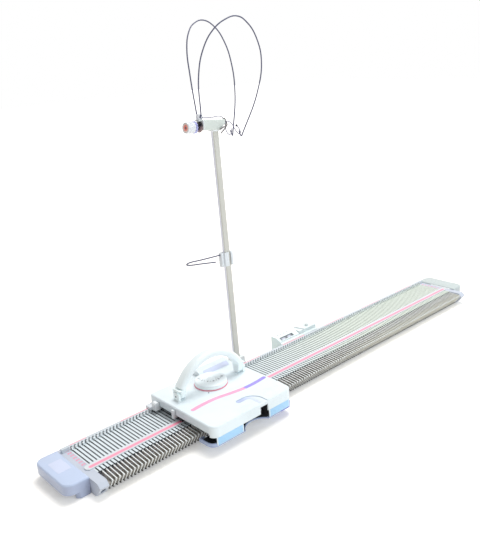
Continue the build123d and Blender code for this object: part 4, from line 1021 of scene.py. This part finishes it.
window_at = (middle("counter_lens").x, 75.0, 34.5)  # on the case's sloping front
WINDOW = turned(window_at, (1, 0, 0), (0, 11.0, 5.0))
outer, inner = rounded_box(41.5, 10.4, 1.6, 4), rounded_box(37.4, 7.4, 0.8, 4)
frame_rows = [
    [(x, y, z) for x, y in line]
    for line, z in ((outer, 0), (outer, 0.45), (inner, 0.45), (inner, 0), (outer, 0))
]
piece("window_frame", rings(frame_rows, closed=False), "bed", "counter_white", place=WINDOW)
upright_bar, long_bar = rounded_box(4.6, 7.6, 0.5, 3), rounded_box(37.6, 1.1, 0.4, 3)
mask = [moved(prism(upright_bar, 0.3, 0.05), shift(x)) for x in (-16.6, 0.0, 16.6)]
mask += [moved(prism(long_bar, 0.3, 0.05), shift(y=y)) for y in (-3.3, 3.3)]
piece("window_mask", joined(*mask), "bed", "counter_white", "window_dark", WINDOW @ shift(z=-0.9))
button_low, button_high = spot("reset_button")
neck, top = 1.95, button_high.z
button = lathe(
    [(0, button_low.z), (neck, button_low.z), (neck, top - 2.4), (3.9, top - 2.4),
     (3.95, top - 0.7), (3.5, top - 0.15), (2.6, top - 0.3), (0, top - 0.45)],
    40,
)
button_at = shift(*middle("reset_button").xy)
piece("button_cap", button, "reset_button", "button_grey", None, button_at, ["reset_button"])
marks = copies(
    ROW, block((-2.4, -0.45, 0), (2.4, 0.45, 0.12)), "print_grey",
    Count=4, Start=(case_low.x + 12, 88.5, case_high.z), Step=(9.0, 0, 0),
)
piece("case_marks", marks, "bed", "counter_white", "print_grey")

# ---- tension unit
side_outline = [
    (-body_left, -body_half), (8.0, -body_half), (body_right, 1.0), (body_right, body_half),
    (-body_left, body_half),
]
shell = moved(prism(side_outline, 17.0, 1.8, 4), Matrix.Rotation(radians(90), 4, "X"))
ledge = moved(prism(rounded_box(9.8, 12.0, 1.4, 4), 2.0, 0.4), shift(-34.1, 0, body_half - 1.0))
unit = joined(shell, ledge)
piece("unit_shell", unit, "bed", "unit_white", place=UNIT, stands_for=["tension_body"])
lip = moved(prism(rounded_box(17.4, 18.4, 1.8, 4), 1.4, 0.4), Matrix.Rotation(radians(90), 4, "Y"))
piece("unit_rim", lip, "bed", "unit_white", "knob_white", UNIT @ shift(-body_left + 0.5, 0, 0))
piece(
    "unit_collar", prism(rounded_box(19.0, 13.0, 2.0, 4), 4.0, 0.6),
    "bed", "unit_white", "knob_white", MAST_TOP @ shift(z=-body_half), ["tension_body"],
)

axle = lathe(
    [(0, -8), (2.4, -8), (2.4, 0), (4.4, 0), (4.4, 1.4), (2.4, 1.5), (2.4, 24.5), (0, 24.5)], 32
)
piece("unit_axle", axle, "bed", "pin_steel", place=SPINDLE, stands_for=["tension_spindle"])
dished = (
    (2.6, 0.1), (5.5, 0.1), (7.5, 0.25), (9.0, 0.75), (9.2, 0.95), (9.05, 1.1), (7.4, 0.6),
    (5.4, 0.45), (2.6, 0.45),
)
facing = [(r, -z) for r, z in reversed(dished)]
for name, outline, at_z in (("inner_disc", dished, 1.5), ("outer_disc", facing, 4.4)):
    piece(
        f"{name}_dished", lathe(outline, 60), "bed", "disc_steel",
        place=SPINDLE @ shift(z=at_z), stands_for=[name],
    )


def coil(radius, thick, length, turns):
    """A wound spring from Z = 0 up."""
    rows = []
    steps = 28
    total = turns * steps
    for i in range(total + 1):
        angle = 2 * pi * i / steps
        out = Vector((cos(angle), sin(angle), 0))
        at = out * radius + Vector((0, 0, thick + (length - 2 * thick) * i / total))
        rows.append([at + out * x + Vector((0, 0, y)) for x, y in circle(thick, 8)])
    return rings(rows)


spring = moved(coil(4.4, 0.5, 7.4, 4), SPINDLE @ shift(z=4.45))
piece("spring_coil", spring, "bed", "spring_steel", stands_for=["tension_spring"])

knob = lathe(
    [(0, 25.2), (2.7, 25.2), (2.7, 16.8), (9.2, 16.8), (9.7, 17.3), (9.7, 31.0), (9.5, 32.0),
     (8.9, 32.7), (8.2, 32.85), (7.8, 32.5), (7.7, 31.9), (0, 31.9)],
    60,
)
rib = block((9.3, -0.28, 18.5), (9.86, 0.28, 29.5))
joined(knob, copies(RING, rib, "knob_white", Count=36, Radius=0.0))
piece("knob_cap", knob, "tension_knob", "knob_white", place=SPINDLE, stands_for=["tension_knob"])
face = lathe(
    [(0, 31.8), (7.66, 31.8), (7.66, 32.3), (7.3, 32.5), (2.4, 32.45), (2.0, 32.1), (0, 32.1)], 48
)
piece("knob_end", face, "tension_knob", "knob_white", "knob_face", SPINDLE)
tooth = block((8.6, -1.0, 12.5), (10.3, 1.0, 16.5))
teeth = copies(RING, tooth, "ring_lavender", Count=12, Radius=0.0)
gear = lathe([(2.6, 12.3), (9.0, 12.3), (9.3, 12.6), (9.3, 16.4), (9.0, 16.6), (2.6, 16.6)], 60)
piece("knob_ring", joined(gear, teeth), "tension_knob", "knob_white", "ring_lavender", SPINDLE)

# the post with its cross pin, and the two take-up wires
post_x, eye_y, pin_z = -32.5, 5.55, 14.0
post = moved(prism(rounded_box(8.6, 8.6, 1.6, 4), 10.0, 0.6), shift(post_x, 0, pin_z))
cross_pin = lathe([(0, -7.2), (0.9, -7.2), (1.05, -7.0), (1.05, 7.0), (0.9, 7.2), (0, 7.2)], 20)
moved(cross_pin, shift(post_x, 0, pin_z) @ Matrix.Rotation(radians(90), 4, "X"))
joined(post, cross_pin)
piece("wire_post_block", post, "bed", "post_white", place=UNIT, stands_for=["wire_post"])

# a take-up wire from its eye up, over and down: along the bed, outwards, up
BOW = (
    (-3.5, 6, 69), (2.5, 16.5, 111), (17, 26.5, 138), (37, 34.5, 153.0), (61, 37.6, 157.8),
    (84, 37.2, 147.4), (105, 36.6, 122), (117, 33.8, 84), (113, 24, 32), (85.5, 6.5, -42),
)
BOW_HOOK = ((85.5, 6.5, -42), (83.6, 6.0, -40.5), (80, 5.9, -32))
for side, name in ((1, "back"), (-1, "front")):
    eye_at = UNIT @ Vector((post_x, side * eye_y, pin_z))
    bow, hook = (
        [eye_at + Vector((x, side * y, z)) for x, y, z in line] for line in (BOW, BOW_HOOK)
    )
    bow.insert(0, eye_at + Vector((0, 0, 1.5)))
    ring = circle(1.8, 12, 90)
    loop = [
        UNIT @ Vector((post_x + x, side * eye_y, pin_z + z)) for x, z in ring + ring[:1]
    ]
    wire(
        f"bow_{name}", (bow, hook, loop), 1.15, f"takeup_wire_{name}", "wire_dark",
        stands_for=[f"takeup_wire_{name}"],
    )

# the unit's bent wires, in its own axes
YARN_HOOKS = (
    (
        (16, -4, 6), (21.6, -4, 9.7), (23.2, -4, -0.7), (20.7, -7, -4.1), (13.5, -10, -4.8),
        (4.9, -12, -8.3),
    ),
    ((17, 4, 3), (30, 4, 6), (34, 4, -1), (28, 0, -4.5), (20.7, -7, -6.1), (4.7, -13, -14.7)),
)
wire("yarn_guides", YARN_HOOKS, 1.15, "bed", "wire_steel", place=UNIT, stands_for=["yarn_hooks"])
FINE_WIRES = (
    (
        (-28, 0, 12.4), (-10, 0, 12.6), (-0.9, 0, 12.9), (5, 0, 13.9), (13.4, 0, 14.0),
        (18, 0, 13.2), (21, 0, 10.5), (22, -2, 5),
    ),
    (
        (23, -4, 4), (24.1, -4.2, -10.1), (28, -4.2, -16.5), (32.5, -4.2, -18.5),
        (36.5, -4.2, -16), (38.1, -4.2, -8),
    ),
    (
        (28, 4, 5), (36, 1, 4), (42, -2, -2), (45, -4.2, -9.3), (50, -4.2, -15),
        (56, -4.2, -18.3), (58.6, -4.2, -16.6), (56.8, -4.2, -11), (50.4, -4.2, -3.8),
    ),
)
wire("fine_wires", FINE_WIRES, 0.75, "bed", "wire_steel", "wire_pale", UNIT)
bead = lathe([(0, -2.2), (1.4, -1.7), (2.2, 0), (1.4, 1.7), (0, 2.2)], 20)
bead_at = UNIT @ shift(49.8, -4.2, -3.4)
piece("wire_bead", bead, "bed", "wire_steel", "window_dark", bead_at, sharp=80)

# ---- guide clip on the mast
softened("clip_shell", "guide_clip", "guide_clip", "clip_grey", 0.5, 2)
guide_low, guide_high = spot("guide_wire")
start = Vector((guide_high.x - 0.2, (guide_low.y + guide_high.y) / 2, guide_high.z - 4.3))
# the yarn guide's wire from the clip: along the bed, up
GUIDE_LOOP = (
    (0, 0), (-40, 1.8), (-74.5, 3.3), (-77.5, 1.7), (-74.5, -0.1), (-40, -6.0), (-11, -10.6),
)
guide = [start + Vector((x, 0, z)) for x, z in GUIDE_LOOP]
wire("guide_loop", [guide], 1.2, "guide_clip", "wire_dark", stands_for=["guide_wire"])

# ---- rubber feet
feet_low, feet_high = spot("rubber_feet")
foot_x, foot_y = feet_high.x - 8, (feet_low.y + 8, feet_high.y - 8)
pads = [
    moved(lathe([(0, 0), (7.0, 0), (7.6, 0.4), (7.9, 1.5), (0, 1.5)], 32), shift(x, y))
    for x, y in [(0, 0)] + [(sx * foot_x, y) for sx in (-1, 1) for y in foot_y]
]
piece("feet_pads", joined(*pads), "bed", "rubber", stands_for=["rubber_feet"])


# ---- floor, light and camera
ground = Finish("floor_white")
# brighter far off, so that no edge shows against the background and only soft shadows stay near
far = (ground.x * ground.x + ground.y * ground.y).root().between(0.7, 1.5)
glow = ground.mix(far, shade(146, 146, 146), shade(255, 255, 255))
cloud = ground.noise(2.0)
ground.finish(
    Base_Color=ground.mix(cloud, shade(250, 246, 240), shade(253, 249, 243)),
    Roughness=0.9,
    Specular_IOR_Level=0.0,
    Emission_Color=ground.mix(ground.seen(), shade(0, 0, 0), glow),
    Emission_Strength=1.0,
)
floor_half, floor_z = 9.0, -0.0002
floor_mesh = bpy.data.meshes.new("floor")
floor_corners = ((-1, -1), (1, -1), (1, 1), (-1, 1))
floor_mesh.from_pydata(
    [(x * floor_half, y * floor_half, floor_z) for x, y in floor_corners], [], [(0, 1, 2, 3)]
)
floor_mesh.materials.append(finishes["floor_white"])
floor_object = placed("floor", floor_mesh)


def soft_light(name, place, target, size, power, colour):
    """A round area light that faces a target."""
    light = bpy.data.lights.new(name, "AREA")
    light.shape = "DISK"
    light.size = size
    light.energy = power
    light.color = colour
    holder = placed(name, light)
    holder.location = place
    holder.rotation_euler = (Vector(target) - Vector(place)).to_track_quat("-Z", "Y").to_euler()


soft_light("key", (0.6, 0.3, 2.6), (0.0, 0.0, 0.0), 1.6, 57.0, (1.0, 0.995, 0.985))
soft_light("front", (0.5, -2.1, 0.9), (0.0, 0.0, 0.1), 1.4, 19.0, (0.80, 0.92, 1.0))

world = bpy.data.worlds.new("studio")
bpy.context.scene.world = world
world.use_nodes = True
studio = Nodes(world.node_tree)
# white where it is seen, softer as light
sky = studio.mix(studio.seen(), (0.45, 0.455, 0.46, 1.0), (1.0, 1.0, 1.0, 1.0))
set_inputs(studio.tree, studio.tree.nodes["Background"], {"Color": sky, "Strength": 1.0})

camera = bpy.data.cameras.new("camera")
camera.sensor_width = 36.0
camera.sensor_fit = "AUTO"
camera.lens = 42.85
camera.clip_start = 0.05
camera.clip_end = 30.0
turn = Matrix(((0.7328, 0.2592, -0.6292), (-0.678, 0.1993, -0.7075), (-0.058, 0.945, 0.3218)))
viewer = placed("camera", camera)
viewer.matrix_world = Matrix.Translation((-0.8701, -0.8040, 0.5996)) @ turn.to_4x4()
bpy.context.scene.camera = viewer
bpy.context.scene.view_settings.view_transform = "Standard"

bpy.context.view_layer.update()
